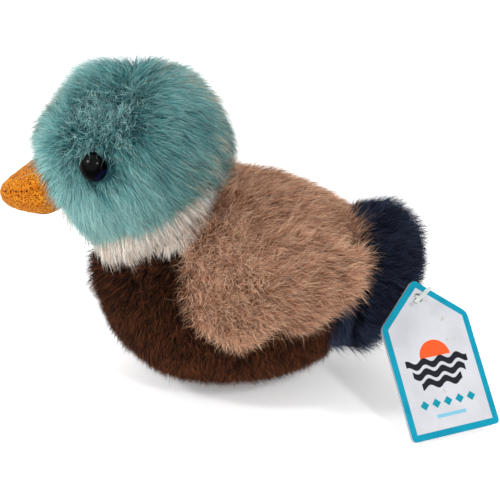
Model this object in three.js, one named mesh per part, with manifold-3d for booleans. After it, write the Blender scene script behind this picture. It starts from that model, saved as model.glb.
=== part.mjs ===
// Plush duck, sitting on a flat underside, with flap wings and a folded swing tag.
// Millimetres. +Z is up, the beak points to -X and the left side is at -Y.
// The origin is on the flat underside. Soft pieces are given over the tops of their pile.

import * as THREE from 'three';
import { mergeVertices } from 'three/addons/utils/BufferGeometryUtils.js';
import Module from 'manifold-3d';

const wasm = await Module();
wasm.setup();

// Clearances and cuts
const CLEAR = 0.3;
const OVERRUN = 20;

// Plush fabric, backing and pile together
const SKIN = 4;
const SUEDE = 1.2;

// Body, an egg that is longer behind its centre
const BODY_CENTRE_X = 3;
const BODY_FRONT = 43;
const BODY_REAR = 50;
const BODY_HALF_WIDTH = 38;
const BODY_UP = 35.7;
const BODY_DOWN = 37.5;
const BODY_UNDERSIDE_POWER = 2.3;
const BASE_CUT = 0.5;
const BASE_PANEL_RADIUS = 21;
const BASE_PANEL_HEIGHT = 9;
const BEAN_DEPTH = 18;

// Seam between the breast panels and the back panel, seen from the side
const BACK_SEAM_FRONT_X = -8;
const BACK_SEAM_FRONT_Z = 58;
const BACK_SEAM_REAR_X = 42;
const BACK_SEAM_REAR_Z = 38;

// Head, an egg with its thin end down and a face that tapers, and the tilted ring
// seam of the neck
const HEAD_CENTRE_X = -23;
const HEAD_CENTRE_Z = 82.5;
const HEAD_FRONT = 32.8;
const HEAD_REAR = 29.8;
const HEAD_HALF_WIDTH = 32;
const HEAD_UP = 25;
const HEAD_DOWN = 45;
const HEAD_TAPER_SHARE = 0.2;
const GUSSET_CROWN_HALF_WIDTH = 13;
const GUSSET_END_HALF_WIDTH = 6;
const NECK_CENTRE_X = -18.5;
const NECK_CENTRE_Z = 63.6;
const NECK_TILT = THREE.MathUtils.degToRad(30);
const NECK_RADIUS = 28.5;
const NECK_RING_WIDTH = 6;
const NECK_BAND_WIDTH = 8.5;

// Beak
const BEAK_CENTRE_X = -54;
const BEAK_CENTRE_Z = 67.2;
const BEAK_FRONT = 15.6;
const BEAK_REAR = 10;
const BEAK_HALF_WIDTH = 10;
const BEAK_UP = 7.8;
const BEAK_DOWN = 9.4;
const BEAK_RISE_SHARE = 0.17;
const BEAK_TAPER_SHARE = 0.2;

// Safety eye: a dome on a shank, held by a washer behind the fabric
const EYE_X = -34.3;
const EYE_Z = 80.7;
const EYE_RADIUS = 4.5;
const EYE_HEIGHT = 4.2;
const EYE_SINK = 2.6;
const EYE_SHANK_RADIUS = 1.25;
const EYE_SHANK_LENGTH = 5.2;
const WASHER_RADIUS = 4.5;
const WASHER_THICKNESS = 1.4;
const WASHER_DEPTH = 5.4;

// Tail, a round rump with a raised tip
const TAIL_CENTRE_X = 47;
const TAIL_CENTRE_Z = 35.2;
const TAIL_HALF_LENGTH = 23;
const TAIL_HALF_WIDTH = 21;
const TAIL_HALF_HEIGHT = 25.5;
const TAIL_RISE_SHARE = 0.32;
const TAIL_NARROW_SHARE = 0.35;

// Wing flaps, each a lining, a sheet of wadding and an outer that cups the wadding
const WING_REAR = 62;
const WING_STAND_OFF = 0.5;
const WING_LINING = 1.6;
const WING_WADDING = 2.2;
const WING_OUTER = 3.4;
const WING_RIM = 3;
const WING_ROOT_FRONT_X = 2;
const WING_ROOT_FRONT_Z = 63;
const WING_ROOT_REAR_X = 26;
const WING_ROOT_REAR_Z = 59.5;
const WING_LEAD_X = -9;
const WING_LOWEST_Z = 31;
const WING_TIP_X = 50;
const WING_TIP_Z = 51;

// Swing tag, a folded card with a pointed top
const TAG_WIDTH = 30;
const TAG_STRAIGHT = 36;
const TAG_POINT = 13.3;
const TAG_CORNER = 1.6;
const TAG_CARD = 0.4;
const TAG_HOLE_RADIUS = 1.5;
const TAG_HOLE_DROP = 6;
const TAG_ALONG_SHARE = 0.7565;
const TAG_STAND_OFF = 9.25;
const TAG_Z = 34.9;
const TAG_TURN = THREE.MathUtils.degToRad(22.5);
const TAG_LEAN = THREE.MathUtils.degToRad(51.5);
const TAG_FOLD = THREE.MathUtils.degToRad(3);

// Nylon fastener of the tag: a bar at each end of a thin bent stem
const STEM_RADIUS = 0.4;
const STEM_TOP = 3.9;
const STEM_BEND = 3;
const STEM_INNER_LENGTH = 12.5;
const BAR_LENGTH = 7.5;
const BAR_WIDTH = 1.3;
const BAR_THICKNESS = 0.8;
const BAR_TURN = THREE.MathUtils.degToRad(30);
const STEM_BORE_RADIUS = 0.9;

// Facet counts
const FORM_AROUND = 28;
const FORM_ALONG = 14;
const INNER_AROUND = 18;
const INNER_ALONG = 9;
const ROUND_SIDES = 28;
const EYE_SIDES = 18;
const STEM_SIDES = 8;
const STEM_STEPS = 10;
const OUTLINE_STEPS = 5;

// Looks
const LOOKS = {
  tealPlush: { color: 0x6fa8a4, roughness: 0.95, metalness: 0 },
  creamPlush: { color: 0xe6dacb, roughness: 0.95, metalness: 0 },
  brownPlush: { color: 0x4a2d1c, roughness: 0.95, metalness: 0 },
  tanPlush: { color: 0xb08a70, roughness: 0.95, metalness: 0 },
  navyPlush: { color: 0x2c3348, roughness: 0.95, metalness: 0 },
  orangeSuede: { color: 0xd98324, roughness: 0.85, metalness: 0 },
  blackPlastic: { color: 0x0a0a0c, roughness: 0.08, metalness: 0 },
  clearNylon: { color: 0xc8d2c8, roughness: 0.3, metalness: 0 },
  fibreFill: { color: 0xf2f0ea, roughness: 1, metalness: 0 },
  beans: { color: 0xd8d4cc, roughness: 0.7, metalness: 0 },
  lining: { color: 0xa47d62, roughness: 0.95, metalness: 0 },
  card: { color: 0x1aa0b8, roughness: 0.5, metalness: 0 },
};

// Swelling forms. A unit ball is stretched by the form's reaches, bent up along its
// length by its rise and drawn in towards its ends.
const BODY = {
  x: BODY_CENTRE_X,
  z: BODY_DOWN - BASE_CUT,
  front: BODY_FRONT,
  rear: BODY_REAR,
  halfWidth: BODY_HALF_WIDTH,
  up: BODY_UP,
  down: BODY_DOWN,
  undersidePower: BODY_UNDERSIDE_POWER,
  riseShare: 0,
  frontTaperShare: 0,
  rearNarrowShare: 0,
};
const WING_BED = { ...BODY, rear: WING_REAR };
const HEAD = {
  x: HEAD_CENTRE_X,
  z: HEAD_CENTRE_Z,
  front: HEAD_FRONT,
  rear: HEAD_REAR,
  halfWidth: HEAD_HALF_WIDTH,
  up: HEAD_UP,
  down: HEAD_DOWN,
  undersidePower: 2,
  riseShare: 0,
  frontTaperShare: HEAD_TAPER_SHARE,
  rearNarrowShare: 0,
};
const BEAK = {
  x: BEAK_CENTRE_X,
  z: BEAK_CENTRE_Z,
  front: BEAK_FRONT,
  rear: BEAK_REAR,
  halfWidth: BEAK_HALF_WIDTH,
  up: BEAK_UP,
  down: BEAK_DOWN,
  undersidePower: 2,
  riseShare: BEAK_RISE_SHARE,
  frontTaperShare: BEAK_TAPER_SHARE,
  rearNarrowShare: 0,
};
const TAIL = {
  x: TAIL_CENTRE_X,
  z: TAIL_CENTRE_Z,
  front: TAIL_HALF_LENGTH,
  rear: TAIL_HALF_LENGTH,
  halfWidth: TAIL_HALF_WIDTH,
  up: TAIL_HALF_HEIGHT,
  down: TAIL_HALF_HEIGHT,
  undersidePower: 2,
  riseShare: TAIL_RISE_SHARE,
  frontTaperShare: 0,
  rearNarrowShare: TAIL_NARROW_SHARE,
};

// Solids from geometry and back
function solidOf(geometry) {
  const bare = geometry.clone();
  bare.deleteAttribute('normal');
  bare.deleteAttribute('uv');
  const merged = mergeVertices(bare);
  const points = merged.getAttribute('position').array;
  const corners = merged.getIndex().array;
  return new wasm.Manifold(
    new wasm.Mesh({
      numProp: 3,
      vertProperties: new Float32Array(points),
      triVerts: new Uint32Array(corners),
    }),
  );
}

function geometryOf(solid) {
  const { numProp, vertProperties, triVerts } = solid.getMesh();
  const corners = vertProperties.length / numProp;
  const points = new Float32Array(corners * 3);
  for (let i = 0; i < corners; i += 1) {
    points.set(vertProperties.subarray(i * numProp, i * numProp + 3), i * 3);
  }
  const geometry = new THREE.BufferGeometry();
  geometry.setAttribute('position', new THREE.BufferAttribute(points, 3));
  geometry.setIndex(new THREE.BufferAttribute(new Uint32Array(triVerts), 1));
  geometry.computeVertexNormals();
  return geometry;
}

// The same piece on the other side of the duck
function mirrored(geometry) {
  const twin = geometry.clone();
  twin.scale(1, -1, 1);
  const corners = twin.getIndex().array;
  for (let i = 0; i < corners.length; i += 3) {
    [corners[i], corners[i + 1]] = [corners[i + 1], corners[i]];
  }
  twin.computeVertexNormals();
  return twin;
}

const duck = new THREE.Group();

function place(name, geometry, look, parent = duck) {
  const mesh = new THREE.Mesh(geometry, new THREE.MeshStandardMaterial(LOOKS[look]));
  mesh.name = name;
  parent.add(mesh);
  return mesh;
}

// A form, grown outwards by a length, or shrunk where the length is negative
function formSolid(form, grow, around = FORM_AROUND, along = FORM_ALONG) {
  const ball = new THREE.SphereGeometry(1, around, along);
  ball.rotateZ(Math.PI / 2);
  const points = ball.getAttribute('position');
  for (let i = 0; i < points.count; i += 1) {
    const a = points.getX(i);
    const b = points.getY(i);
    const c = points.getZ(i);
    const reach = (a < 0 ? form.front : form.rear) + grow;
    const slim = 1 - form.frontTaperShare * Math.max(0, -a);
    const narrow = 1 - form.rearNarrowShare * Math.max(0, a);
    const power = form.undersidePower;
    const height = c < 0 ? -((1 - (1 - c * c) ** (power / 2)) ** (1 / power)) : c;
    const x = a * reach;
    const y = b * (form.halfWidth + grow) * slim * narrow;
    const z = height * ((c < 0 ? form.down : form.up) + grow) * slim + x * form.riseShare;
    points.setXYZ(i, form.x + x, y, form.z + z);
  }
  return solidOf(ball);
}

function innerForm(form, grow) {
  return formSolid(form, grow, INNER_AROUND, INNER_ALONG);
}

// How far a form's surface stands out sideways at a point of its side view
function sideOf(form, x, z) {
  const along = x - form.x;
  const a = along / (along < 0 ? form.front : form.rear);
  const slim = 1 - form.frontTaperShare * Math.max(0, -a);
  const narrow = 1 - form.rearNarrowShare * Math.max(0, a);
  const rise = z - form.z - along * form.riseShare;
  const height = rise / ((rise < 0 ? form.down : form.up) * slim);
  const power = height < 0 ? form.undersidePower : 2;
  const level = (1 - Math.abs(height) ** power) ** (1 / power);
  return Math.sqrt(level ** 2 - a ** 2) * form.halfWidth * slim * narrow;
}

// The way a form's left side faces at a point of its side view
function outwardOf(form, x, z) {
  const along = sideOf(form, x + CLEAR, z) - sideOf(form, x - CLEAR, z);
  const upwards = sideOf(form, x, z + CLEAR) - sideOf(form, x, z - CLEAR);
  return new THREE.Vector3(-along, -CLEAR * 2, -upwards).normalize();
}

// Cutting blocks
const REACH = BODY_FRONT + BODY_REAR + HEAD_UP + HEAD_DOWN + OVERRUN;

// Everything on the far side of a plane through a point, along its normal
function beyond(point, normal) {
  const block = new THREE.BoxGeometry(REACH * 2, REACH * 2, REACH * 2);
  block.translate(0, 0, REACH);
  const turn = new THREE.Quaternion().setFromUnitVectors(new THREE.Vector3(0, 0, 1), normal);
  block.applyQuaternion(turn);
  block.translate(point.x, point.y, point.z);
  return solidOf(block);
}

// A round bar along a direction, from one distance to another
function roundBar(point, direction, radius, from, to, sides = ROUND_SIDES) {
  const bar = new THREE.CylinderGeometry(radius, radius, to - from, sides);
  bar.rotateX(Math.PI / 2);
  bar.translate(0, 0, (from + to) / 2);
  const turn = new THREE.Quaternion().setFromUnitVectors(new THREE.Vector3(0, 0, 1), direction);
  bar.applyQuaternion(turn);
  bar.translate(point.x, point.y, point.z);
  return solidOf(bar);
}

// A ring or dome turned about a direction
function turned(profile, point, direction, sides) {
  const lathe = new THREE.LatheGeometry(profile, sides);
  const turn = new THREE.Quaternion().setFromUnitVectors(new THREE.Vector3(0, 1, 0), direction);
  lathe.applyQuaternion(turn);
  lathe.translate(point.x, point.y, point.z);
  return solidOf(lathe);
}

const UP = new THREE.Vector3(0, 0, 1);
const DOWN = new THREE.Vector3(0, 0, -1);
const LEFT = new THREE.Vector3(0, -1, 0);
const RIGHT = new THREE.Vector3(0, 1, 0);
const leftOf = (y) => beyond(new THREE.Vector3(0, y, 0), LEFT);
const rightOf = (y) => beyond(new THREE.Vector3(0, y, 0), RIGHT);
const above = (z) => beyond(new THREE.Vector3(0, 0, z), UP);
const below = (z) => beyond(new THREE.Vector3(0, 0, z), DOWN);

// The neck's tilted plane, with its axis pointing into the head
const neckAxis = new THREE.Vector3(-Math.sin(NECK_TILT), 0, Math.cos(NECK_TILT));
const neckCentre = new THREE.Vector3(NECK_CENTRE_X, 0, NECK_CENTRE_Z);
const neckPoint = (rise) => neckCentre.clone().addScaledVector(neckAxis, rise);
const neckBoreRadius = NECK_RADIUS - NECK_RING_WIDTH;

// The tag's hole stands off the side of the tail, and its fastener enters the tail
// along a level line
const tagX = TAIL_CENTRE_X + TAIL_HALF_LENGTH * TAG_ALONG_SHARE;
const tagHole = new THREE.Vector3(tagX, -sideOf(TAIL, tagX, TAG_Z) - TAG_STAND_OFF, TAG_Z);
const tagTilt = new THREE.Quaternion().setFromEuler(new THREE.Euler(TAG_LEAN, 0, TAG_TURN, 'ZYX'));
const stemInward = new THREE.Vector3(-Math.sin(TAG_TURN), Math.cos(TAG_TURN), 0);
const stemBend = new THREE.Vector3(0, 0, -STEM_BEND).applyQuaternion(tagTilt).add(tagHole);
const stemBore = roundBar(stemBend, stemInward, STEM_BORE_RADIUS, 0, STEM_INNER_LENGTH, STEM_SIDES);
const barRoom = roundBar(
  stemBend, stemInward, BAR_LENGTH / 2 + CLEAR * 2,
  STEM_INNER_LENGTH - BAR_THICKNESS / 2 - CLEAR,
  STEM_INNER_LENGTH + BAR_THICKNESS / 2 + CLEAR,
  EYE_SIDES,
);

// Body: two breast panels, a base panel and a back panel around fill and beans
function buildBody() {
  const neckBore = roundBar(neckCentre, neckAxis, neckBoreRadius, -BODY_UP, OVERRUN);
  const skin = formSolid(BODY, 0)
    .subtract(innerForm(BODY, -SKIN))
    .subtract(innerForm(TAIL, -SKIN))
    .subtract(neckBore)
    .subtract(below(0));

  const baseRound = (radius, height) =>
    roundBar(new THREE.Vector3(BODY_CENTRE_X, 0, 0), UP, radius, -OVERRUN, height);
  const basePanel = skin.intersect(baseRound(BASE_PANEL_RADIUS, BASE_PANEL_HEIGHT));
  const sides = skin.subtract(baseRound(BASE_PANEL_RADIUS + CLEAR, BASE_PANEL_HEIGHT + CLEAR));

  const seamRun = BACK_SEAM_REAR_X - BACK_SEAM_FRONT_X;
  const seamFall = BACK_SEAM_FRONT_Z - BACK_SEAM_REAR_Z;
  const seamNormal = new THREE.Vector3(seamFall, 0, seamRun).normalize();
  const seamPoint = new THREE.Vector3(BACK_SEAM_FRONT_X, 0, BACK_SEAM_FRONT_Z);
  const seamStep = seamPoint.clone().addScaledVector(seamNormal, -CLEAR);
  const backPanel = sides.intersect(beyond(seamPoint, seamNormal));
  const breast = sides.intersect(beyond(seamStep, seamNormal.clone().negate()));

  place('base_panel', geometryOf(basePanel), 'brownPlush');
  place('back_panel', geometryOf(backPanel), 'tanPlush');
  place('breast_panel_left', geometryOf(breast.intersect(leftOf(-CLEAR / 2))), 'brownPlush');
  place('breast_panel_right', geometryOf(breast.intersect(rightOf(CLEAR / 2))), 'brownPlush');

  const beanTop = SKIN - BASE_CUT + BEAN_DEPTH;
  const cavity = innerForm(BODY, -SKIN - CLEAR);
  const neckPlug = roundBar(neckCentre, neckAxis, neckBoreRadius - CLEAR, -BODY_UP / 2, OVERRUN);
  const fill = cavity
    .add(neckPlug)
    .subtract(beyond(neckPoint(-CLEAR), neckAxis))
    .subtract(barRoom)
    .intersect(above(beanTop + CLEAR));
  place('bean_bag', geometryOf(cavity.intersect(below(beanTop))), 'beans');
  place('body_stuffing', geometryOf(fill), 'fibreFill');
}

// Neck band, a cream ring between the head and the body
function buildNeck() {
  const profile = [
    new THREE.Vector2(neckBoreRadius, -NECK_BAND_WIDTH),
    new THREE.Vector2(NECK_RADIUS, -NECK_BAND_WIDTH),
    new THREE.Vector2(NECK_RADIUS, -CLEAR),
    new THREE.Vector2(neckBoreRadius, -CLEAR),
    new THREE.Vector2(neckBoreRadius, -NECK_BAND_WIDTH),
  ];
  const ring = turned(profile, neckCentre, neckAxis, ROUND_SIDES);
  place('neck_band', geometryOf(ring.subtract(formSolid(BODY, CLEAR))), 'creamPlush');
}

// The middle strip of the head, from the nape over the crown to the throat, in plan
function gussetBlock(grow) {
  const half = GUSSET_CROWN_HALF_WIDTH + grow;
  const end = GUSSET_END_HALF_WIDTH + grow;
  const face = HEAD_CENTRE_X - HEAD_FRONT;
  const nape = HEAD_CENTRE_X + HEAD_REAR;
  const plan = new THREE.Shape();
  plan.moveTo(face - OVERRUN, -end);
  plan.lineTo(face, -end);
  plan.quadraticCurveTo(HEAD_CENTRE_X, -half * 2 + end, nape, -end);
  plan.lineTo(nape + OVERRUN, -end);
  plan.lineTo(nape + OVERRUN, end);
  plan.lineTo(nape, end);
  plan.quadraticCurveTo(HEAD_CENTRE_X, half * 2 - end, face, end);
  plan.lineTo(face - OVERRUN, end);
  plan.closePath();
  const depth = HEAD_CENTRE_Z + HEAD_UP + OVERRUN;
  return solidOf(
    new THREE.ExtrudeGeometry(plan, { depth, bevelEnabled: false, curveSegments: OUTLINE_STEPS }),
  );
}

// Head: two side panels and the gusset around their fill, with pockets for the eyes
function buildHead() {
  const eyeFoot = new THREE.Vector3(EYE_X, -sideOf(HEAD, EYE_X, EYE_Z), EYE_Z);
  const eyeOut = outwardOf(HEAD, EYE_X, EYE_Z);

  const pocket = roundBar(eyeFoot, eyeOut, EYE_RADIUS + CLEAR, -EYE_SINK - CLEAR, EYE_HEIGHT, EYE_SIDES);
  const shankHole = roundBar(eyeFoot, eyeOut, EYE_SHANK_RADIUS + CLEAR, -SKIN * 2, 0, EYE_SIDES);
  const washerRecess = roundBar(
    eyeFoot, eyeOut, WASHER_RADIUS + CLEAR,
    -EYE_SINK - EYE_SHANK_LENGTH - CLEAR, 0, EYE_SIDES,
  );

  const skin = formSolid(HEAD, 0)
    .subtract(innerForm(HEAD, -SKIN))
    .intersect(beyond(neckCentre, neckAxis));
  const sidePanel = skin
    .intersect(leftOf(0))
    .subtract(gussetBlock(CLEAR))
    .subtract(pocket)
    .subtract(shankHole);
  const left = geometryOf(sidePanel);
  place('head_panel_left', left, 'tealPlush');
  place('head_panel_right', mirrored(left), 'tealPlush');
  place('head_gusset', geometryOf(skin.intersect(gussetBlock(0))), 'tealPlush');

  const recessTwin = solidOf(mirrored(geometryOf(washerRecess)));
  const fill = innerForm(HEAD, -SKIN - CLEAR)
    .intersect(beyond(neckCentre, neckAxis))
    .subtract(washerRecess)
    .subtract(recessTwin);
  place('head_stuffing', geometryOf(fill), 'fibreFill');

  buildEye(eyeFoot, eyeOut);
}

// One safety eye and its washer, and their twins
function buildEye(foot, out) {
  const arc = new THREE.EllipseCurve(0, -EYE_SINK, EYE_RADIUS, EYE_HEIGHT, 0, Math.PI / 2);
  const dome = arc.getPoints(OUTLINE_STEPS);
  dome[dome.length - 1].x = 0;
  const profile = [
    new THREE.Vector2(0, -EYE_SINK - EYE_SHANK_LENGTH),
    new THREE.Vector2(EYE_SHANK_RADIUS, -EYE_SINK - EYE_SHANK_LENGTH),
    new THREE.Vector2(EYE_SHANK_RADIUS, -EYE_SINK),
    ...dome,
  ];
  const eye = geometryOf(turned(profile, foot, out, EYE_SIDES));
  place('eye_left', eye, 'blackPlastic');
  place('eye_right', mirrored(eye), 'blackPlastic');

  const hole = EYE_SHANK_RADIUS + CLEAR;
  const washerProfile = [
    new THREE.Vector2(hole, -WASHER_DEPTH - WASHER_THICKNESS),
    new THREE.Vector2(WASHER_RADIUS, -WASHER_DEPTH - WASHER_THICKNESS),
    new THREE.Vector2(WASHER_RADIUS, -WASHER_DEPTH),
    new THREE.Vector2(hole, -WASHER_DEPTH),
    new THREE.Vector2(hole, -WASHER_DEPTH - WASHER_THICKNESS),
  ];
  const washer = geometryOf(turned(washerProfile, foot, out, EYE_SIDES));
  place('eye_washer_left', washer, 'blackPlastic');
  place('eye_washer_right', mirrored(washer), 'blackPlastic');
}

// The halves of a skin above and below its form's rising middle line
function splitAlong(form, skin) {
  const rise = new THREE.Vector3(-form.riseShare, 0, 1).normalize();
  const seam = (shift) => new THREE.Vector3(form.x, 0, form.z).addScaledVector(rise, shift);
  const upper = skin.intersect(beyond(seam(CLEAR / 2), rise));
  const lower = skin.intersect(beyond(seam(-CLEAR / 2), rise.clone().negate()));
  return [upper, lower];
}

// Beak: an upper and a lower suede cap around their fill, butted on the face
function buildBeak() {
  const face = formSolid(HEAD, CLEAR);
  const skin = innerForm(BEAK, 0).subtract(innerForm(BEAK, -SUEDE)).subtract(face);
  const [upper, lower] = splitAlong(BEAK, skin);
  place('beak_upper', geometryOf(upper), 'orangeSuede');
  place('beak_lower', geometryOf(lower), 'orangeSuede');
  place('beak_stuffing', geometryOf(innerForm(BEAK, -SUEDE - CLEAR).subtract(face)), 'fibreFill');
}

// Tail: an upper and a lower panel around their fill, behind the body
function buildTail() {
  const skin = formSolid(TAIL, 0).subtract(innerForm(TAIL, -SKIN)).subtract(formSolid(BODY, CLEAR));
  const [upper, lower] = splitAlong(TAIL, skin);
  place('tail_panel_upper', geometryOf(upper), 'navyPlush');
  place('tail_panel_lower', geometryOf(lower.subtract(stemBore)), 'navyPlush');

  const fill = innerForm(TAIL, -SKIN - CLEAR)
    .subtract(innerForm(BODY, -SKIN))
    .subtract(stemBore)
    .subtract(barRoom);
  place('tail_stuffing', geometryOf(fill), 'fibreFill');
}

// A wing's outline in the side view, drawn in from its edges by an inset
function wingBlock(inset) {
  const drop = WING_ROOT_FRONT_Z - WING_LOWEST_Z;
  const length = WING_TIP_X - WING_LEAD_X;
  const outline = new THREE.Shape();
  const leadX = WING_LEAD_X + inset;
  const lowZ = WING_LOWEST_Z + inset;
  const leadCurveShare = 0.42;
  const lowCurveShares = [0.1, 0.32, 0.62, 0.88];
  outline.moveTo(WING_ROOT_FRONT_X + inset, WING_ROOT_FRONT_Z - inset);
  outline.quadraticCurveTo(leadX, WING_ROOT_FRONT_Z - inset, leadX, WING_ROOT_FRONT_Z - drop * leadCurveShare);
  outline.bezierCurveTo(
    leadX, lowZ + drop * lowCurveShares[0],
    WING_LEAD_X + length * lowCurveShares[0], lowZ,
    WING_LEAD_X + length * lowCurveShares[1], lowZ,
  );
  outline.bezierCurveTo(
    WING_LEAD_X + length * lowCurveShares[2], lowZ,
    WING_LEAD_X + length * lowCurveShares[3] - inset, lowZ + drop * lowCurveShares[0],
    WING_TIP_X - inset, WING_TIP_Z - inset,
  );
  outline.lineTo(WING_ROOT_REAR_X, WING_ROOT_REAR_Z - inset);
  outline.closePath();
  const depth = BODY_HALF_WIDTH + OVERRUN;
  const block = new THREE.ExtrudeGeometry(outline, { depth, bevelEnabled: false, curveSegments: OUTLINE_STEPS });
  block.rotateX(Math.PI / 2);
  return solidOf(block);
}

// One wing flap and its twin, curved around the body's side
function buildWings() {
  const liningTop = WING_STAND_OFF + WING_LINING;
  const waddingFoot = liningTop + CLEAR;
  const waddingTop = waddingFoot + WING_WADDING;
  const outerTop = waddingTop + CLEAR + WING_OUTER;
  const outline = wingBlock(0);
  const layer = (from, to) => formSolid(WING_BED, to).subtract(formSolid(WING_BED, from));
  const lining = layer(WING_STAND_OFF, liningTop).intersect(outline);
  const wadding = layer(waddingFoot, waddingTop).intersect(wingBlock(WING_RIM + CLEAR));
  const cup = formSolid(WING_BED, waddingTop + CLEAR).intersect(wingBlock(WING_RIM));
  const outer = layer(waddingFoot, outerTop).intersect(outline).subtract(cup);
  const pieces = { lining: [lining, 'lining'], wadding: [wadding, 'fibreFill'], outer: [outer, 'tanPlush'] };
  for (const [name, [solid, look]] of Object.entries(pieces)) {
    const left = geometryOf(solid);
    place(`wing_left_${name}`, left, look);
    place(`wing_right_${name}`, mirrored(left), look);
  }
}

// A leaf of the tag, drawn about its hole with the point upwards
function tagLeaf() {
  const half = TAG_WIDTH / 2;
  const apex = new THREE.Vector2(0, TAG_HOLE_DROP);
  const shoulder = TAG_HOLE_DROP - TAG_POINT;
  const foot = shoulder - TAG_STRAIGHT;
  const corners = [
    apex,
    new THREE.Vector2(-half, shoulder),
    new THREE.Vector2(-half, foot),
    new THREE.Vector2(half, foot),
    new THREE.Vector2(half, shoulder),
  ];
  const leaf = new THREE.Shape();
  corners.forEach((corner, i) => {
    const before = corners[(i + corners.length - 1) % corners.length];
    const after = corners[(i + 1) % corners.length];
    const start = corner.clone().addScaledVector(before.clone().sub(corner).normalize(), TAG_CORNER);
    const end = corner.clone().addScaledVector(after.clone().sub(corner).normalize(), TAG_CORNER);
    if (i === 0) {
      leaf.moveTo(start.x, start.y);
    } else {
      leaf.lineTo(start.x, start.y);
    }
    leaf.quadraticCurveTo(corner.x, corner.y, end.x, end.y);
  });
  leaf.closePath();
  const hole = new THREE.Path();
  hole.absarc(0, 0, TAG_HOLE_RADIUS, 0, Math.PI * 2, true);
  leaf.holes.push(hole);
  return new THREE.ExtrudeGeometry(leaf, {
    depth: TAG_CARD, bevelEnabled: false, curveSegments: OUTLINE_STEPS + 1,
  });
}

// Bar, stem and inner bar of the fastener, in the tag's own frame
function fastenerSolid() {
  const inward = stemInward.clone().applyQuaternion(tagTilt.clone().invert());
  const bend = new THREE.Vector3(0, 0, -STEM_BEND);
  const end = bend.clone().addScaledVector(inward, STEM_INNER_LENGTH);
  const route = new THREE.CatmullRomCurve3([
    new THREE.Vector3(0, 0, STEM_TOP + BAR_THICKNESS / 2),
    new THREE.Vector3(0, 0, 0),
    bend.clone().addScaledVector(inward, STEM_BEND / 3),
    end.clone().addScaledVector(inward, -STEM_INNER_LENGTH / 2),
    end,
  ]);
  const section = new THREE.Shape();
  section.absarc(0, 0, STEM_RADIUS, 0, Math.PI * 2, false);
  const stem = new THREE.ExtrudeGeometry(section, {
    steps: STEM_STEPS, extrudePath: route, bevelEnabled: false, curveSegments: STEM_SIDES / 2,
  });
  const outerBar = new THREE.BoxGeometry(BAR_LENGTH, BAR_WIDTH, BAR_THICKNESS);
  outerBar.rotateZ(BAR_TURN);
  outerBar.translate(0, 0, STEM_TOP + BAR_THICKNESS / 2);
  const innerBar = new THREE.BoxGeometry(BAR_LENGTH, BAR_THICKNESS, BAR_THICKNESS);
  innerBar.applyQuaternion(new THREE.Quaternion().setFromUnitVectors(new THREE.Vector3(0, 0, 1), inward));
  innerBar.translate(end.x, end.y, end.z);
  return solidOf(stem).add(solidOf(outerBar)).add(solidOf(innerBar));
}

// Swing tag: a back leaf, a front leaf that opens about the left long edge, and the fastener
function buildTag() {
  const tag = new THREE.Group();
  tag.position.copy(tagHole);
  tag.quaternion.copy(tagTilt);
  duck.add(tag);

  const back = place('tag_back_leaf', tagLeaf(), 'card', tag);
  back.position.z = -TAG_CARD - CLEAR / 2;

  const fold = new THREE.Group();
  fold.position.set(-TAG_WIDTH / 2, 0, CLEAR / 2);
  fold.rotation.y = -TAG_FOLD;
  tag.add(fold);
  const front = place('tag_front_leaf', tagLeaf(), 'card', fold);
  front.position.x = TAG_WIDTH / 2;

  place('tag_fastener', geometryOf(fastenerSolid()), 'clearNylon', tag);
}

buildBody();
buildNeck();
buildHead();
buildBeak();
buildTail();
buildWings();
buildTag();

export default duck;
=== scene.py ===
import math

import bpy
import numpy as np
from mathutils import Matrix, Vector, kdtree


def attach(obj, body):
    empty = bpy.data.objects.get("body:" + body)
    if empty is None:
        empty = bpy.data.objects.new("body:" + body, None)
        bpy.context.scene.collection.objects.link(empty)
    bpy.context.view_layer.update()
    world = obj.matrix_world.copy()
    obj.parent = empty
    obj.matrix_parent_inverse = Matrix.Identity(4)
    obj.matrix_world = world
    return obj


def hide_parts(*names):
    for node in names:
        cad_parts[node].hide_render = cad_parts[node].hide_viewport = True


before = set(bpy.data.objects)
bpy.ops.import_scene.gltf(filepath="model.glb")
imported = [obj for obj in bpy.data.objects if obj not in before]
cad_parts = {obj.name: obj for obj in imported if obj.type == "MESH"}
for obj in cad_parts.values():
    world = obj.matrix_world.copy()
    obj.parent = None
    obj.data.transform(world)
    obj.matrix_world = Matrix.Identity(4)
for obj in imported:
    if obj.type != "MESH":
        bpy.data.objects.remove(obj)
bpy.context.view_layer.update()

MM = 0.001
TINY = 1e-9
TURN = 2 * math.pi
AXIS_X = np.array([1.0, 0.0, 0.0])
AXIS_Y = np.array([0.0, 1.0, 0.0])
AXIS_Z = np.array([0.0, 0.0, 1.0])
MIRROR = np.array([1.0, -1.0, 1.0])
UV_NAME = "OFBake"

# Camera
CAMERA_TARGET = (11.84, 0, 44)
CAMERA_DISTANCE = 350
CAMERA_ELEVATION = math.radians(22)
CAMERA_LENS, CAMERA_SENSOR = 76.6, 36
CAMERA_NEAREST = 10

# Depth of the fabric backing under the tops of the pile
BODY_PILE, HEAD_PILE, FACE_PILE, TAIL_PILE = 4.2, 5.2, 3.8, 4.6
BACKING_THICKNESS = 0.8
FLOOR_GAP = 0.2


def unit(v):
    return v / np.maximum(np.linalg.norm(v, axis=-1, keepdims=True), TINY)


def dot(a, b):
    return (a * b).sum(-1, keepdims=True)


def reach(v):
    return np.linalg.norm(v, axis=1)


def smooth(start, end, value):
    """0 at the start, 1 at the end and a soft step between them. The end may be the smaller."""
    t = np.clip((value - start) / (end - start), 0, 1)
    return t * t * (3 - 2 * t)


def mirrored_left(p):
    """The points moved to the left side, and the sign that moves them back."""
    sign = np.where(p[:, 1:2] > 0, -1.0, 1.0)
    flip = np.concatenate([np.ones_like(sign), sign, np.ones_like(sign)], 1)
    return p * flip, flip


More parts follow.
